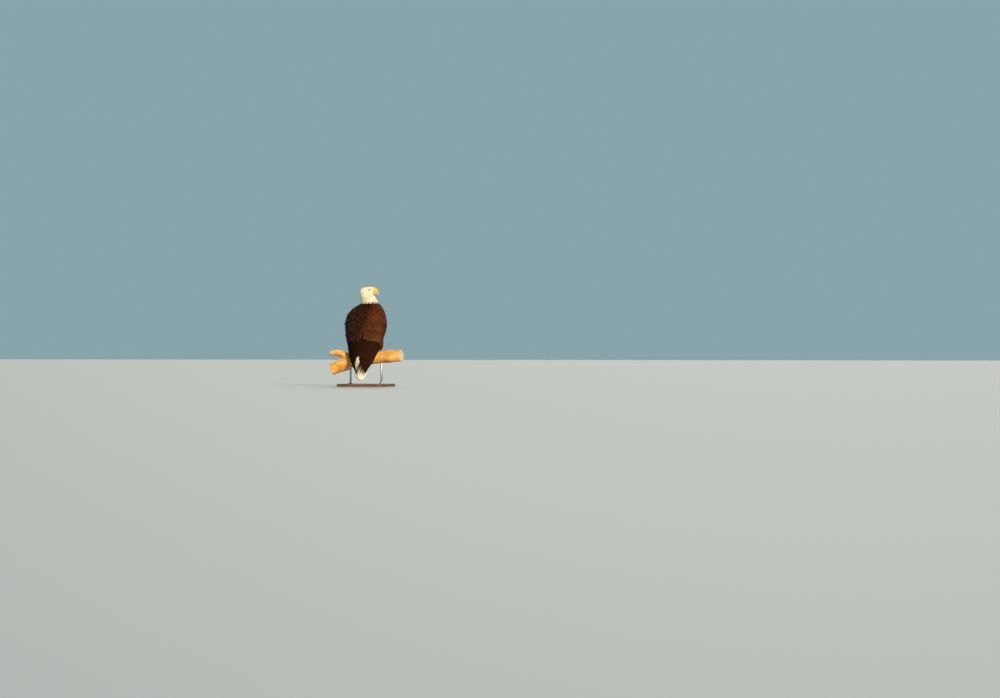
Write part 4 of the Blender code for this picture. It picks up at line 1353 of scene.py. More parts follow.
def billLook():
    look = Look("bill horn", Specular_IOR_Level=0.4, Coat_Weight=0.08, Coat_Roughness=0.35, Roughness=0.42)
    local = look.mapped(look.place(), turn=(0, 0, -form["headTurn"]))
    ahead, _, up = look.parts(local)
    ahead = ahead + float(-(headAhead @ eyesAt))
    up = up - float(eyesAt[2])
    n = bill["nostril"]
    a, b = ahead - n["ahead"], up - n["up"]
    lengthwise = (b * math.cos(n["lean"]) - a * math.sin(n["lean"])) / n["long"]
    crosswise = (a * math.cos(n["lean"]) + b * math.sin(n["lean"])) / n["narrow"]
    # the nostril's slit is painted near-black, as painted shade inside its opening
    pit = 1 - (lengthwise * lengthwise * 1.25 + crosswise * crosswise * 1.6).rise(0.55, 1.0)
    bow = (up - 0.001) / 0.019
    past = ahead - bill["cereEnd"] - (1 - bow * bow) * bill["cereBow"]   # how far in front of the cere
    horn = past.rise(-0.0004, 0.0012)
    layers = look.noise(look.mapped(local, (60, 30, 420), (0, -0.5, 0)), 1.0, 5, 0.62)
    cloud = look.noise(local, 70, 3)
    tip = (ahead - 0.060).rise(0, 0.012) * (0 - up).rise(0.004, 0.034)
    low = (0 - up).rise(0.0155, 0.024) * (1 - (ahead - 0.058).rise(0, 0.004))
    base = look.layered(look.mix(cloud.rise(0.3, 0.7), (0.79, 0.34, 0.014), (0.89, 0.45, 0.030)),
                        (tip * 0.55, (0.50, 0.36, 0.14)),
                        (layers.rise(0.50, 0.72) * 0.14, (0.60, 0.29, 0.025)),
                        (layers.rise(0.30, 0.46) * -0.12 + 0.12, (0.92, 0.57, 0.085)))
    skin = look.mix(look.noise(local, 260, 3), (0.89, 0.53, 0.040), (0.81, 0.43, 0.026))
    base = look.layered(look.mix(horn, skin, base),
                        ((1 - abs(past).rise(0.0, 0.0008)) * 0.30, (0.46, 0.21, 0.02)),
                        (low * 0.30, (0.93, 0.66, 0.16)), (pit * 0.96, (0.020, 0.009, 0.004)))
    look.feed(Base_Color=base, Roughness=layers * 0.26 + 0.28)
    pores = look.noise(local, 900, 2) * (1 - horn)
    look.relief(layers * horn + pores * 0.8, 0.18, 0.0004)
    return look.material


billFinish = billLook()


def gapeLook():
    look = Look("gape skin", Roughness=0.45, Specular_IOR_Level=0.4)
    cells = look.cells(2200.0)
    cloud = look.noise(look.place(), 160, 3)
    # the mouth's slit is painted dark, as painted shade in the crease between the lips
    slit = look.painted("rim")
    base = look.layered(look.mix(cloud, (0.88, 0.56, 0.070), (0.80, 0.46, 0.045)),
                        (cells.rise(0.40, 0.8) * 0.25, (0.55, 0.30, 0.04)),
                        (slit.rise(0.35, 0.9) * 0.85, (0.10, 0.035, 0.012)))
    look.feed(Base_Color=base, Roughness=cloud * 0.2 + 0.36)
    look.relief(1 - cells, 0.12, 0.0002)
    return look.material


gapeFinish = gapeLook()

face = {
    "gapeTall": 0.0036, "gapeThick": 0.0014, "gapeEnd": 0.30, "gapeSink": 0.0032,
    "lidLong": 0.0098, "lidUp": 0.0094, "lidDown": 0.0082,        # where the lids go under the feathers
    "openRadius": 0.0064, "openOver": 0.0042, "openSlant": 0.34,  # the opening, its top cut by the brow
    "gaze": (0.16, 1.0, -0.02),
    "irisRadius": 0.0064, "pupilRadius": 0.0027,
    # rings of the lids: share of the way in and lift below the eye, the same under the brow, dark rim
    "lids": ((0.00, -0.0012, 0.00, -0.0010, 0.0), (0.25, -0.0004, 0.20, 0.0004, 0.0),
             (0.45, 0.0003, 0.38, 0.0009, 0.0), (0.58, 0.0006, 0.54, 0.0016, 0.0),
             (0.68, 0.0007, 0.67, 0.0021, 0.0), (0.78, 0.0011, 0.765, 0.0021, 0.0),
             (0.86, 0.0014, 0.80, 0.0017, 0.0), (0.92, 0.0014, 0.79, 0.0011, 0.35),
             (0.97, 0.0012, 0.82, 0.0010, 0.8), (1.00, 0.0008, 0.94, 0.0011, 1.0),
             (1.03, 0.0003, 1.01, 0.0006, 1.0), (1.12, -0.0008, 1.12, -0.0008, 1.0)),
}


# places on the side of the head, from (ahead, up): side 1 is the bird's left
def onHead(side, flat, lift=0.0):
    made = []
    for ahead, up in flat:
        start = fromHead((ahead, side * 0.06, up))
        hit = guideTree.ray_cast(Vector(start), Vector(-side * headLeft))
        if hit[0] is None:
            hit = guideTree.find_nearest(Vector(fromHead((ahead, side * 0.02, up))))
        made.append(np.array(hit[0]) + side * headLeft * lift)
    return np.array(made)


# the fleshy corner of the mouth: one flange with the mouth's slit along it
def buildGape(side, hand):
    flat = smoothPath(head["gape"], 30)
    path = onHead(side, flat)
    first = int(np.argmax(flat[:, 0] < 0.0275))   # before this the lips run on into the bill
    step = (path[first] - path[first + 3]) / 3
    path[:first] = path[first] + np.arange(first, 0, -1)[:, None] * step
    path[:first + 3] -= side * headLeft * (face["gapeSink"] * np.linspace(1, 0, first + 3)[:, None] ** 1.3)
    for _ in range(3):
        path[1:-1] = (path[:-2] + 2 * path[1:-1] + path[2:]) / 4
    out = side * headLeft
    tangents = unit(np.gradient(path, axis=0))
    c, s = roundTurns(52)
    slit = np.exp(-((s / 0.17) ** 2)) * (c > 0)
    rings = []
    for k, (spot, tangent) in enumerate(zip(path, tangents)):
        share = k / (len(path) - 1)
        size = (1 - (1 - face["gapeEnd"]) * share**0.8) * math.sqrt(max(1 - share**8, 0.03))
        normal = unit(out - tangent * (out @ tangent))
        rise = np.cross(normal, tangent)
        away = c * (1 - 0.8 * slit)
        rings.append(spot + np.outer(s * face["gapeTall"] * size, rise)
                     + np.outer(away * face["gapeThick"] * (0.5 + 0.5 * size), normal))
    piece = lofted("gape_" + hand, rings)
    where = points(piece.data)
    order = np.linalg.norm(where[:, None] - np.concatenate(rings)[None], axis=2).argmin(1)
    paint(piece, "rim", slit[order % len(slit)])
    finished(piece, gapeFinish, "bill_horn")


# the ball narrows where the lids cover it, from the angle off its middle
def behindLids(away):
    return 1 - 0.17 * ease((away - 0.68) / 0.45)


# an eye's middle, its gaze, and its forward and upward directions
def eyeAxes(side):
    middle = fromHead((0.001, side * form["eyeSide"], 0.0))
    gaze = unit(np.array([face["gaze"][0], side * face["gaze"][1], face["gaze"][2]]))
    gaze = gaze[0] * headAhead + gaze[1] * headLeft + gaze[2] * headUp
    forward = unit(headAhead - gaze * (headAhead @ gaze))
    rise = np.cross(gaze, forward) * -side
    rise = rise * np.sign(rise @ headUp)
    return middle, gaze, forward, rise


ballRadius = form["eyeRadius"] - 0.0004


def buildEyeball(side, hand):
    middle, gaze, forward, _ = eyeAxes(side)
    radius = ballRadius
    bpy.ops.mesh.primitive_uv_sphere_add(segments=64, ring_count=48, radius=radius)
    ball = bpy.context.object
    ball.name = "eyeball_" + hand
    onlyThis(ball)
    spots = points(ball.data)
    away = np.arccos(np.clip(spots[:, 2] / radius, -1, 1))
    ring = np.sin(np.minimum(away, math.pi / 2)) * radius
    bulge = 0.0009 * ease(1 - ring / (face["irisRadius"] * 1.15)) * (away < 1.2)
    spots = spots * (behindLids(away) + bulge / radius)[:, None]
    turned = middle + spots[:, :1] * forward + spots[:, 1:2] * np.cross(gaze, forward) + spots[:, 2:] * gaze
    movePoints(ball, turned)
    reach = np.where(away < math.pi / 2, ring, 1.0)
    paint(ball, "reach", reach)
    finished(ball, eyeFinish, "eye_iris", "eye_" + hand)


# from under the face feathers, over the brow's shelf above, to the ball
def buildLids(side, hand):
    middle, gaze, forward, rise = eyeAxes(side)
    radius = ballRadius
    c, s = roundTurns(96)
    cut = face["openOver"] / np.maximum(s + face["openSlant"] * c, 0.05)
    opening = -np.logaddexp(-face["openRadius"] / 2e-4, -cut / 2e-4) * 2e-4
    upward = np.where(s > 0, face["lidUp"], face["lidDown"])
    outer = 1 / np.sqrt((c / face["lidLong"]) ** 2 + (s / upward) ** 2)
    outside = onHead(side, np.stack([0.001 + c * outer, s * outer], -1), -0.0006)
    directions = c[:, None] * forward + s[:, None] * rise
    inside = middle + directions * opening[:, None] + gaze * np.sqrt(radius**2 - opening**2)[:, None]
    shelf = ease((s + face["openSlant"] * c + 0.02) / 0.55)[:, None]
    rings, rims = [], []
    for low, lowLift, high, highLift, rim in face["lids"]:
        share = low * (1 - shelf) + high * shelf
        lift = lowLift * (1 - shelf) + highLift * shelf
        ring = outside + (inside - outside) * share + gaze * lift
        if low < 0.95:   # never through the ball
            away = ring - middle
            reach = np.linalg.norm(away, axis=1)
            off = np.arccos(np.clip(away @ gaze / reach, -1, 1))
            ring = middle + away * (np.maximum(reach, radius * behindLids(off) + 0.0002) / reach)[:, None]
        rings.append(ring)
        rims.append(rim)
    lids = lofted("lids_" + hand, rings, cap=False)
    where = points(lids.data)
    gaps = np.stack([np.linalg.norm(where[:, None] - ring[None], axis=2).min(1) for ring in rings], 1)
    rim = np.array(rims)[gaps.argmin(1)]
    paint(lids, "rim", rim)
    applied(lids, "SUBSURF", levels=1, render_levels=1)
    applied(lids, "SOLIDIFY", thickness=0.0004, offset=-1)
    finished(lids, lidFinish, "white_feather")


def lidLook():
    look = Look("lid skin", Roughness=0.55, Specular_IOR_Level=0.35)
    place = look.place()
    rim = look.painted("rim")
    folds = look.noise(look.mapped(place, (260, 260, 900)), 1.0, 4, 0.6)
    cells = look.cells(1500.0)
    base = look.layered(look.mix(folds.rise(0.3, 0.7), (0.52, 0.45, 0.27), (0.66, 0.60, 0.42)),
                        (cells.rise(0.3, 0.7) * 0.22, (0.34, 0.28, 0.16)),
                        (rim.rise(0.2, 0.75), (0.030, 0.022, 0.014)))
    look.feed(Base_Color=base, Roughness=folds * 0.2 + 0.42)
    look.relief(folds + (1 - cells) * 0.5, 0.22, 0.0004)
    return look.material


def eyeLook():
    look = Look("eye", Roughness=0.12, Specular_IOR_Level=0.6, Coat_Weight=1.0, Coat_Roughness=0.02)
    reach = look.painted("reach")
    threads = look.noise(look.place(), 1400, 4, 0.7)
    rim = (reach - face["irisRadius"]).rise(-0.0010, -0.0002)
    pupil = 1 - (reach - face["pupilRadius"]).rise(-0.0001, 0.0002)
    white = (reach - face["irisRadius"]).rise(-0.0002, 0.0003)
    look.feed(Base_Color=look.layered(look.mix(threads, (0.86, 0.66, 0.17), (0.62, 0.42, 0.08)),
                                      (rim, (0.16, 0.09, 0.03)), (pupil, (0.002, 0.002, 0.002)),
                                      (white, (0.10, 0.06, 0.035))))
    return look.material


eyeFinish = eyeLook()
lidFinish = lidLook()
buildFringe(buildUpperBill())
buildLowerBill()
buildTongue()
for side, hand in ((1, "left"), (-1, "right")):
    buildGape(side, hand)
    buildEyeball(side, hand)
    buildLids(side, hand)
print("bill, eyes and face ready")

# ---- perch: the cut limb and its broken stub ----

perch = {
    # along, height, behind, radius
    "limb": ((-0.300, 0.2420, 0.008, 0.048), (-0.210, 0.2345, 0.003, 0.049), (-0.115, 0.2285, 0.0, 0.047),
             (0.000, 0.2140, 0.0, 0.047), (0.115, 0.1975, 0.0, 0.047), (0.180, 0.1760, 0.0, 0.052),
             (0.230, 0.1560, 0.003, 0.050), (0.285, 0.1340, 0.008, 0.046)),
    "stub": ((0.145, 0.002, 0.222, 0.036), (0.195, 0.010, 0.254, 0.029), (0.235, 0.018, 0.262, 0.0235),
             (0.275, 0.026, 0.262, 0.0195), (0.2985, 0.030, 0.2655, 0.0150)),
    "voxel": 0.0026, "stubVoxel": 0.0019, "splinters": 0.009,
    "cracks": 13, "crackLong": (0.04, 0.15), "crackWide": (0.035, 0.07), "crackDeep": 0.0042,
    "grainDeep": 0.0011, "dentDeep": 0.0016,
    "calmAt": 0.062, "calmHalf": 0.045,      # smoother where the feet grip
    # drying splits in the sawn ends: turn from straight up, half width, where they start from the heart
    "splits": ((0.6, 0.0013, 0.002), (2.75, 0.0011, 0.014), (-1.7, 0.0012, 0.008), (-0.5, 0.0008, 0.022),
               (1.75, 0.0009, 0.024), (-2.6, 0.0007, 0.030)),
}
gripRadius = 0.047


def limbMiddle(x):
    height, behind, radius = along(perch["limb"], x)
    return np.array([x, behind, height]), radius


# smooth random waves of the place, the same in every run
def ripples(spots, scale, seed, count=9):
    rng = np.random.default_rng(seed)
    total = np.zeros(len(spots))
    for _ in range(count):
        direction = rng.normal(size=3)
        total += np.sin(spots * scale @ direction + rng.uniform(0, 6.28)) / count**0.5
    return total


# weathered wood: fine grain along it, a few long open checks, shallow dents
def weathered(piece, lengthwise, around, seed, deep=1.0):
    spots = points(piece.data)
    normals = pointNormals(piece)
    run, turn = lengthwise(spots), around(spots)
    rng = np.random.default_rng(seed)
    wander = ripples(np.stack([run, run * 0, run * 0], -1), 34, seed + 1)
    sunk = np.zeros(len(spots))
    for _ in range(perch["cracks"]):
        middle, start = rng.uniform(-math.pi, math.pi), rng.uniform(-0.28, 0.28)
        long, wide = rng.uniform(*perch["crackLong"]), rng.uniform(*perch["crackWide"])
        twist = rng.uniform(-1.2, 1.2)
        gap = turn - middle - twist * (run - start) - 0.07 * wander
        gap = (gap + math.pi) % (2 * math.pi) - math.pi
        fade = ease((1 - np.abs(run - start) / long) * 2.5)
        sunk += perch["crackDeep"] * rng.uniform(0.5, 1) * np.exp(-np.abs(gap / wide) ** 1.4) * fade
    unwrapped = np.stack([run * 0.35, np.sin(turn) * 0.05, np.cos(turn) * 0.05], -1)
    grain = np.clip(ripples(unwrapped, 900, seed + 2) * 0.5 + 0.5, 0, 1)
    dents = np.clip(ripples(spots, 55, seed + 3) * 0.5 + 0.2, 0, 1)
    sunk = np.minimum(sunk, perch["crackDeep"]) + perch["grainDeep"] * grain + perch["dentDeep"] * dents
    calm = 1 - 0.75 * np.exp(-((np.abs(run) - perch["calmAt"]) / perch["calmHalf"]) ** 4) * (np.cos(turn) > 0.2)
    spots = spots - normals * (sunk * deep * calm)[:, None]
    movePoints(piece, spots)
    # the depth sunk is kept to paint shade into the checks and the deepest dents
    paint(piece, "crack", np.clip(sunk / perch["crackDeep"], 0, 1))
    piece.data.update()


def deadWoodLook():
    look = Look("dead wood", Roughness=0.8, Specular_IOR_Level=0.25)
    place = look.place()
    x, y, z = look.parts(place)
    crack, sawn, ring = (look.painted(name) for name in ("crack", "sawn", "ring"))
    slope = look.mapped(place, (1, 1, 1), (0, 0.22, 0))
    fibres = look.noise(look.mapped(slope, (16, 210, 210)), 1.0, 6, 0.65)
    streaks = look.noise(look.mapped(slope, (5, 46, 46)), 1.0, 4, 0.6)
    patches = look.noise(place, 13, 3)
    # painted shade: the wood turns near-black the deeper it is sunk, in the checks most
    base = look.layered(look.mix(streaks.rise(0.35, 0.65), (0.76, 0.31, 0.055), (0.97, 0.54, 0.115)),
                        (patches.rise(0.50, 0.70) * 0.50, (0.68, 0.49, 0.29)),
                        (patches.rise(0.30, 0.46) * -0.45 + 0.45, (0.42, 0.20, 0.07)),
                        (fibres.rise(0.42, 0.66) * 0.40, (0.34, 0.17, 0.065)),
                        (crack.rise(0.28, 0.85) * 0.88, (0.060, 0.028, 0.013)))
    wavy = ring + (look.noise(place, 26, 2) - 0.5) * 0.007 + (look.noise(place, 90, 2) - 0.5) * 0.0012
    rings = ((wavy + wavy * wavy * 8) * 2000).sine() * 0.5 + 0.5
    first, last = perch["limb"][0], perch["limb"][-1]
    right = x.rise(-0.01, 0.01)
    up = z - right * (last[1] - first[1]) - first[1]
    across = y - first[2]
    # the drying splits are painted near-black, as painted shade in their gaps
    split = None
    bent = (look.noise(place, 120, 2) - 0.5) * 0.0035
    for turn, wide, inner in perch["splits"]:
        outwards = across * math.sin(turn) + up * math.cos(turn)
        aside = abs(across * math.cos(turn) - up * math.sin(turn) + bent)
        gone = (outwards - inner).rise(0, 0.030)
        one = 1 - (aside - gone * wide).rise(-0.0002, 0.0003)
        one = one * (outwards - inner).rise(0.0, 0.003)
        split = one if split is None else split + one
    split = split.rise(0.0, 0.6)
    cut = look.layered((0.74, 0.55, 0.33), (rings.rise(0.45, 0.98) * 0.42, (0.52, 0.34, 0.18)),
                       (look.noise(place, 34, 3).rise(0.45, 0.70) * 0.45, (0.52, 0.42, 0.30)),
                       ((ring - 0.034).rise(0, 0.014) * 0.45, (0.36, 0.22, 0.11)),
                       (split * 0.93, (0.035, 0.018, 0.010)))
    look.feed(Base_Color=look.mix(sawn, base, cut), Roughness=fibres * 0.25 + 0.62)
    look.relief(fibres * 0.7 + (rings * 0.10 - split * 0.9) * sawn, 0.55, 0.0012)
    return look.material


def buildLimb():
    first, last = perch["limb"][0][0], perch["limb"][-1][0]
    path, radii = [], []
    for x in np.linspace(first, last, 61):
        middle, radius = limbMiddle(x)
        path.append(middle)
        radii.append(radius)
    path, radii = np.array(path), np.array(radii)
    rings = tubeRings(path, radii, radii, 48, (0, 1, 0))
    knotted = []
    for ring, middle, radius in zip(rings, path, radii):
        away = ring - middle
        turn = np.arctan2(away[:, 1], away[:, 2])
        rough = ease((abs(middle[0]) - 0.118) / 0.05)
        knots = 0.05 * np.sin(3 * turn + 21 * middle[0]) + 0.04 * np.sin(2 * turn - 37 * middle[0] + 1)
        knotted.append(middle + away * (1 + rough * (knots - 0.01))[:, None])
    piece = lofted("limb_wood", knotted)
    ends = (path[0], unit(path[0] - path[1])), (path[-1], unit(path[-1] - path[-2]))
    applied(piece, "REMESH", mode="VOXEL", voxel_size=perch["voxel"])
    applied(piece, "SMOOTH", factor=0.5, iterations=2)

    def lengthwise(spots):
        return spots[:, 0]

    def around(spots):
        height, behind, _ = along(perch["limb"], spots[:, 0])
        return np.arctan2(spots[:, 1] - behind, spots[:, 2] - height)

    weathered(piece, lengthwise, around, 7)
    woodEnds(piece, ends)
    finished(piece, woodFinish, "dead_wood", "perch_limb")


# marks the sawn ends and how far each spot lies from the heart
def woodEnds(piece, ends):
    spots = points(piece.data)
    normals = pointNormals(piece)
    sawn, ring = np.zeros(len(spots)), np.zeros(len(spots))
    for middle, out in ends:
        near = ((spots - middle) @ out > -0.006) & (normals @ out > 0.55)
        away = spots - middle
        away = away - np.outer(away @ out, out)
        reach = np.linalg.norm(away, axis=1)
        sawn[near] = 1
        ring[near] = reach[near]
    paint(piece, "sawn", sawn)
    paint(piece, "ring", ring)


def buildStub():
    table = [(k, *row) for k, row in enumerate(perch["stub"])]
    x, y, z, radius = along(table, np.linspace(0, len(table) - 1, 34))
    path = np.stack([x, y, z], -1)
    piece = lofted("stub_wood", tubeRings(path, radius * 0.985, radius * 0.985, 36, (0, 0, 1)))
    applied(piece, "REMESH", mode="VOXEL", voxel_size=perch["stubVoxel"])
    applied(piece, "SMOOTH", factor=0.5, iterations=2)

    def lengthwise(spots):
        return spots[:, 0] * 1.6

    def around(spots):
        _, behind, height, _ = along([(row[0], *row) for row in perch["stub"]], spots[:, 0])
        return np.arctan2(spots[:, 1] - behind, spots[:, 2] - height)

    weathered(piece, lengthwise, around, 19, 0.7)
    # broken off: the end is torn into short splinters
    spots = points(piece.data)
    end, out = path[-1], unit(path[-1] - path[-2])
    depth = (spots - end) @ out
    torn = ease((depth + 0.010) / 0.010)   # the last centimetre
    jag = np.clip(ripples(spots * (0.05, 1, 1), 620, 31) * 0.5 + 0.5, 0, 1)
    spots -= np.outer(torn * jag * perch["splinters"], out)
    movePoints(piece, spots)
    for name in ("sawn", "ring"):
        paint(piece, name, np.zeros(len(spots)))
    finished(piece, woodFinish, "dead_wood", "perch_stub")


woodFinish = deadWoodLook()
buildLimb()
buildStub()
print("perch ready")

# ---- feet ----

feet = {
    "spread": 0.062, "lift": 0.0012,
    # name, splay in degrees, way round the limb, toe length, claw length, radius
    "toes": (("inner", -31, 1, 0.054, 0.040, 0.0098), ("middle", -1, 1, 0.076, 0.037, 0.0094),
             ("outer", 30, 1, 0.060, 0.034, 0.0088), ("hind", 6, -1, 0.040, 0.044, 0.0105)),
    "voxel": 0.0010,
    # aside, behind, up from the sole, radius
    "shank": ((0, 0, -0.004, 0.0138), (0, -0.002, 0.008, 0.0125), (0.003, -0.012, 0.026, 0.0113),
              (0.006, -0.024, 0.050, 0.0120)),
    "scuteStep": 0.0044, "scuteLong": 1.25, "shields": 11, "scutesFrom": 0.010,
    "clawThick": 0.58, "clawArch": 0.0050,
}


def toePlace(side, splay, way, reach, radius):
    around = gripRadius + feet["lift"] + radius
    forward = reach * math.cos(math.radians(splay))
    x = side * (feet["spread"] + reach * math.sin(math.radians(splay)))
    angle = way * forward / (gripRadius + 0.006)
    middle, _ = limbMiddle(x)
    return middle + np.array([0, -around * math.sin(angle), around * math.cos(angle)])


def toeAway(side, splay, way, reach):   # straight off the bark there
    low, high = (toePlace(side, splay, way, reach, r) for r in (0.0, 0.01))
    return unit(high - low)


def toeLine(side, splay, way, length, radius, count):
    path, ups, sizes = [], [], []
    for share in np.linspace(0, 1, count):
        swell = 1 + 0.13 * math.cos(2 * math.pi * (share * 2.5 - 0.5))
        size = radius * (1 - 0.18 * share) * swell * (1 - 0.16 * share**8)
        reach = -0.006 + share * (length + 0.008)
        path.append(toePlace(side, splay, way, reach, size * 0.97))
        ups.append(toeAway(side, splay, way, reach))
        sizes.append(size)
    return np.array(path), np.array(ups), np.array(sizes)


def shankLine(side, count):
    sole = toePlace(side, 0, 1, 0, 0.010)
    rows = [(*(sole + (side * aside, behind, up)), radius) for aside, behind, up, radius in feet["shank"]]
    line = smoothPath(rows, count)
    return line[:, :3], line[:, 3]


def buildFoot(side, hand):
    tubes = []
    path, sizes = shankLine(side, 18)
    tubes.append(lofted("shank", tubeRings(path, sizes, sizes, 28, (0, -1, 0.3))))
    plates, plateOuts, plateWide = [], [], []
    for share in np.linspace(0.12, 0.86, feet["shields"]):    # down the front of the shank
        k = share * 17
        at, further = (between(range(18), path, k + step) for step in (0, -1.2))
        out = unit(np.array([side * 0.1, -0.85, 0.35]))
        size = np.interp(k, range(18), sizes)
        step = unit(further - at) * feet["scuteStep"] * feet["scuteLong"]
        line = np.stack([at + step * f for f in (0, 0.34, 0.67, 1)]) + out * (size * 0.985)
        plates.append(line)
        plateOuts.append(np.tile(out, (4, 1)))
        plateWide.append(size * 1.75)
    for _, splay, way, length, _, radius in feet["toes"]:
        path, ups, sizes = toeLine(side, splay, way, length, radius, 30)
        tubes.append(lofted("toe", tubeRings(path, sizes * 0.93, sizes * 0.97, 28, ups)))
        total = np.linalg.norm(np.diff(path, axis=0), axis=1).sum()
        count = int((total - feet["scutesFrom"]) / feet["scuteStep"])
        for k in range(count):
            spot = (feet["scutesFrom"] + k * feet["scuteStep"]) / total * 29
            line, outs = [], []
            for f in (0, 0.34, 0.67, 1):
                q = min(spot + f * feet["scuteLong"] * feet["scuteStep"] / total * 29, 29)
                at, up = (between(range(30), source, q) for source in (path, ups))
                size = np.interp(q, range(30), sizes)
                line.append(at + unit(up) * size * 0.975)
                outs.append(unit(up))
            plates.append(np.array(line))
            plateOuts.append(np.array(outs))
            plateWide.append(np.interp(spot, range(30), sizes) * 1.62)
    foot = joined("foot_skin_" + hand, tubes)
    applied(foot, "REMESH", mode="VOXEL", voxel_size=feet["voxel"])
    applied(foot, "SMOOTH", factor=0.5, iterations=3)
    # soft pads and small folds
    spots = points(foot.data)
    normals = pointNormals(foot)
    spots += normals * (0.00022 * ripples(spots, 900, 41 + side))[:, None]
    movePoints(foot, spots)
    finished(foot, footFinish, "foot_skin", "foot_" + hand)
    wide = np.array(plateWide)
    plumage("scutes_" + hand, "scute", np.stack(plates), np.stack(plateOuts), wide, scuteFinish, "foot_skin",
            evenPlaces(len(wide)), sink=0.0011, flare=0.0003, camber=0.56, lift=0.0002, seed=43 + side,
            patch=0.012)


def buildTalon(side, hand, toe, splay, way, start, length, radius):
    path, ups, sizes = [], [], []
    for share in np.linspace(0, 1, 26):
        size = feet["clawThick"] * radius * (1 - share) ** 0.7 + 0.0004
        reach = start - 0.004 + share * length
        path.append(toePlace(side, splay, way, reach, size + feet["clawArch"] * math.sin(math.pi * share)))
        ups.append(toeAway(side, splay, way, reach))
        sizes.append(size)
    sizes = np.array(sizes)
    piece = lofted(f"claw_{hand}_{toe}", tubeRings(path, sizes * 0.80, sizes, 20, np.array(ups)))
    finished(piece, talonFinish, "talon_horn", f"talon_{hand}_{toe}")


def footLook(name, light, dark, groove, scale):
    look = Look(name, Roughness=0.45, Specular_IOR_Level=0.45)
    place = look.place()
    cells = look.cells(scale, "DISTANCE_TO_EDGE")
    cloud = look.noise(place, 120, 3)
    soil = look.noise(place, 45, 4, 0.65)
    base = look.layered(light, (cloud.rise(0.3, 0.7), dark), (1 - cells.rise(0.0, 0.14), groove),
                        (soil.rise(0.56, 0.74) * 0.4, (0.30, 0.17, 0.06)))
    look.feed(Base_Color=base, Roughness=cloud * 0.2 + 0.38)
    look.relief(cells.rise(0.0, 0.25), 0.6, 0.0006)
    return look.material


def talonLook():
    look = Look("talon horn", Roughness=0.28, Specular_IOR_Level=0.5, Coat_Weight=0.15, Coat_Roughness=0.2)
    place = look.place()
    streak = look.noise(look.mapped(place, (200, 200, 60)), 1.0, 4, 0.6)
    base = look.mix(streak, (0.012, 0.011, 0.010), (0.040, 0.035, 0.030))
    look.feed(Base_Color=base, Roughness=streak * 0.22 + 0.2)
    look.relief(streak, 0.2, 0.0004)
    return look.material


footFinish = footLook("foot skin", (0.78, 0.46, 0.045), (0.62, 0.34, 0.030), (0.34, 0.17, 0.02), 620)
scuteFinish = footLook("scutes", (0.84, 0.54, 0.065), (0.72, 0.42, 0.040), (0.66, 0.38, 0.04), 260)
talonFinish = talonLook()
for side, hand in ((1, "left"), (-1, "right")):
    buildFoot(side, hand)
    for toe, splay, way, length, claw, radius in feet["toes"]:
        buildTalon(side, hand, toe, splay, way, length, claw, radius)
print("feet ready")

# ---- display stand ----

stand = {
    "rodX": (0.13, -0.13), "rodRadius": 0.008, "baseThick": 0.022,
    "collarRadius": 0.017, "collarTall": 0.009, "collarStep": 0.004, "collarBevel": 0.0011, "rodBevel": 0.0004,
}


def standWoodLook():
    look = Look("stand wood", Specular_IOR_Level=0.18, Roughness=0.66)
    place = look.place()
    bend = look.noise(look.mapped(place, (1.2, 7, 7)), 1.0, 2)
    rings = look.node("TexWave", {"wave_type": "BANDS", "bands_direction": "Y"},
                      {"Vector": look.mapped(place, (0.55, 1, 1)), "Scale": 17.0, "Distortion": 5.0,
                       "Detail": 3.0, "Detail Scale": 1.2, "Detail Roughness": 0.6}, 1)
    pores = look.noise(look.mapped(place, (40, 620, 620)), 1.0, 4, 0.6)
    base = look.layered((0.115, 0.050, 0.022), (rings, (0.200, 0.095, 0.043)),
                        (bend.rise(0.35, 0.7) * 0.4, (0.085, 0.036, 0.016)),
                        (pores.rise(0.60, 0.72) * 0.6, (0.035, 0.015, 0.008)))
    look.feed(Base_Color=base, Roughness=pores * 0.16 + 0.62)
    look.relief(pores, 0.12, 0.0004)
    return look.material


def steelLook():
    look = Look("brushed steel", Metallic=1.0, Roughness=0.32)
    place = look.place()
    brush = look.noise(look.mapped(place, (60, 60, 2400)), 1.0, 3, 0.6)
    smear = look.noise(place, 60, 3)
    base = look.mix(brush, (0.42, 0.42, 0.42), (0.58, 0.575, 0.56))
    look.feed(Base_Color=base, Roughness=brush * 0.16 + smear * 0.14 + 0.20)
    look.relief(brush, 0.08, 0.0002)
    return look.material


def cylinder(name, sides, radius, tall, middle):
    bpy.ops.mesh.primitive_cylinder_add(vertices=sides, radius=radius, depth=tall, location=middle)
    piece = bpy.context.object
    piece.name = name
    onlyThis(piece)
    bpy.ops.object.transform_apply(location=True, rotation=True, scale=True)
    return piece


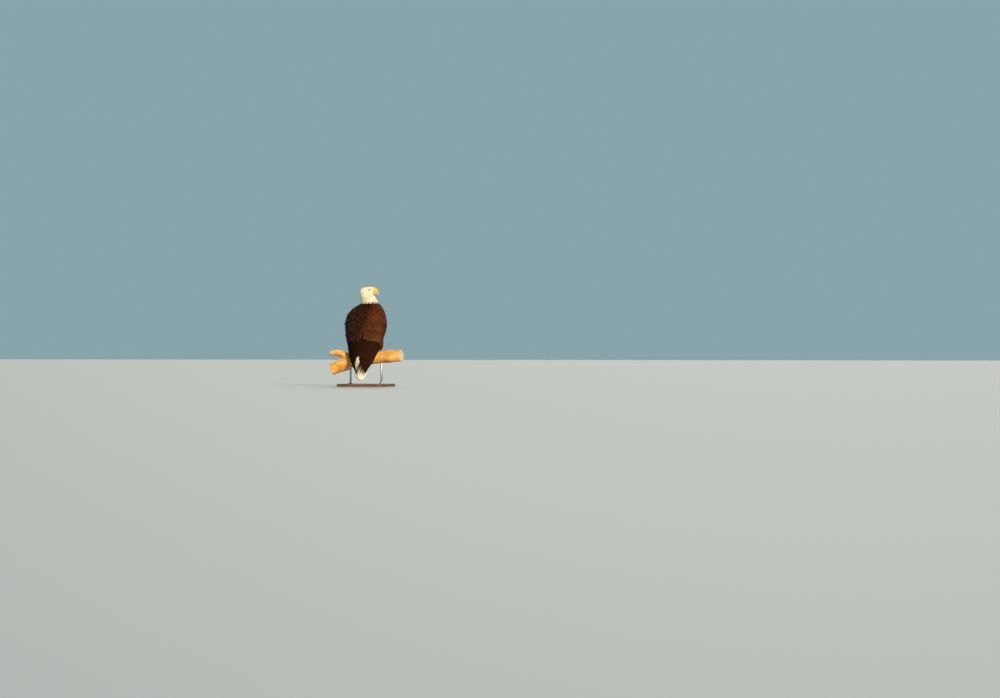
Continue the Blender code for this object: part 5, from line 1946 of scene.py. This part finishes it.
def steeled(piece, bevel, segments, least, *replaced):   # least: the angle from which an edge is bevelled
    applied(piece, "BEVEL", width=bevel, segments=segments, limit_method="ANGLE",
            angle_limit=math.radians(least))
    finished(piece, steelFinish, "stand_steel", *replaced)
    onlyThis(piece)
    bpy.ops.object.shade_smooth_by_angle(angle=math.radians(35))


# a turned collar where each rod meets the base
def buildCollar(name, x, y, height):
    tall = stand["collarTall"]
    piece = cylinder(name, 48, stand["collarRadius"], tall, (x, y, height + tall / 2))
    bpy.ops.object.mode_set(mode="EDIT")
    bpy.ops.mesh.select_mode(type="FACE")
    bpy.ops.mesh.select_all(action="DESELECT")
    bpy.ops.object.mode_set(mode="OBJECT")
    for face in piece.data.polygons:
        face.select = face.normal.z > 0.9
    bpy.ops.object.mode_set(mode="EDIT")
    bpy.ops.mesh.inset(thickness=stand["collarRadius"] - stand["rodRadius"] - 0.0035)
    bpy.ops.transform.translate(value=(0, 0, stand["collarStep"]))
    bpy.ops.mesh.inset(thickness=0.0030)
    bpy.ops.object.mode_set(mode="OBJECT")
    steeled(piece, stand["collarBevel"], 3, 25)


def buildRod(name, node):
    low, high = (np.array(c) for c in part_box(node))
    rod = cylinder(name, 64, stand["rodRadius"], high[2] - low[2], (low + high) / 2)
    steeled(rod, stand["rodBevel"], 2, 60, node)


def buildStand():
    nodes["stand_base"].data.materials.clear()
    nodes["stand_base"].data.materials.append(standWoodLook())
    for x, hand in zip(stand["rodX"], ("left", "right")):
        middle, _ = limbMiddle(x)
        buildCollar("collar_" + hand, x, float(middle[1]), stand["baseThick"] - 0.0004)
        buildRod("rod_" + hand, "stand_rod_" + hand)


steelFinish = steelLook()
buildStand()
print("stand ready")


def dressFloor():
    look = Look("floor", Roughness=0.75)
    shaded = [0.9 * c for c in stage["floorColour"]]
    cloud = look.noise(look.place(), 3, 2)
    look.feed(Base_Color=look.mix(cloud * 0.08, stage["floorColour"], shaded))
    floor.data.materials.append(look.material)


def buildSky():
    world = bpy.data.worlds.new("studio")
    world.use_nodes = True
    background = world.node_tree.nodes["Background"].inputs
    background["Color"].default_value = (*stage["skyColour"], 1.0)
    background["Strength"].default_value = stage["skyStrength"]
    bpy.context.scene.world = world


dressFloor()
buildSky()
print("floor and sky ready")
delete(guide)
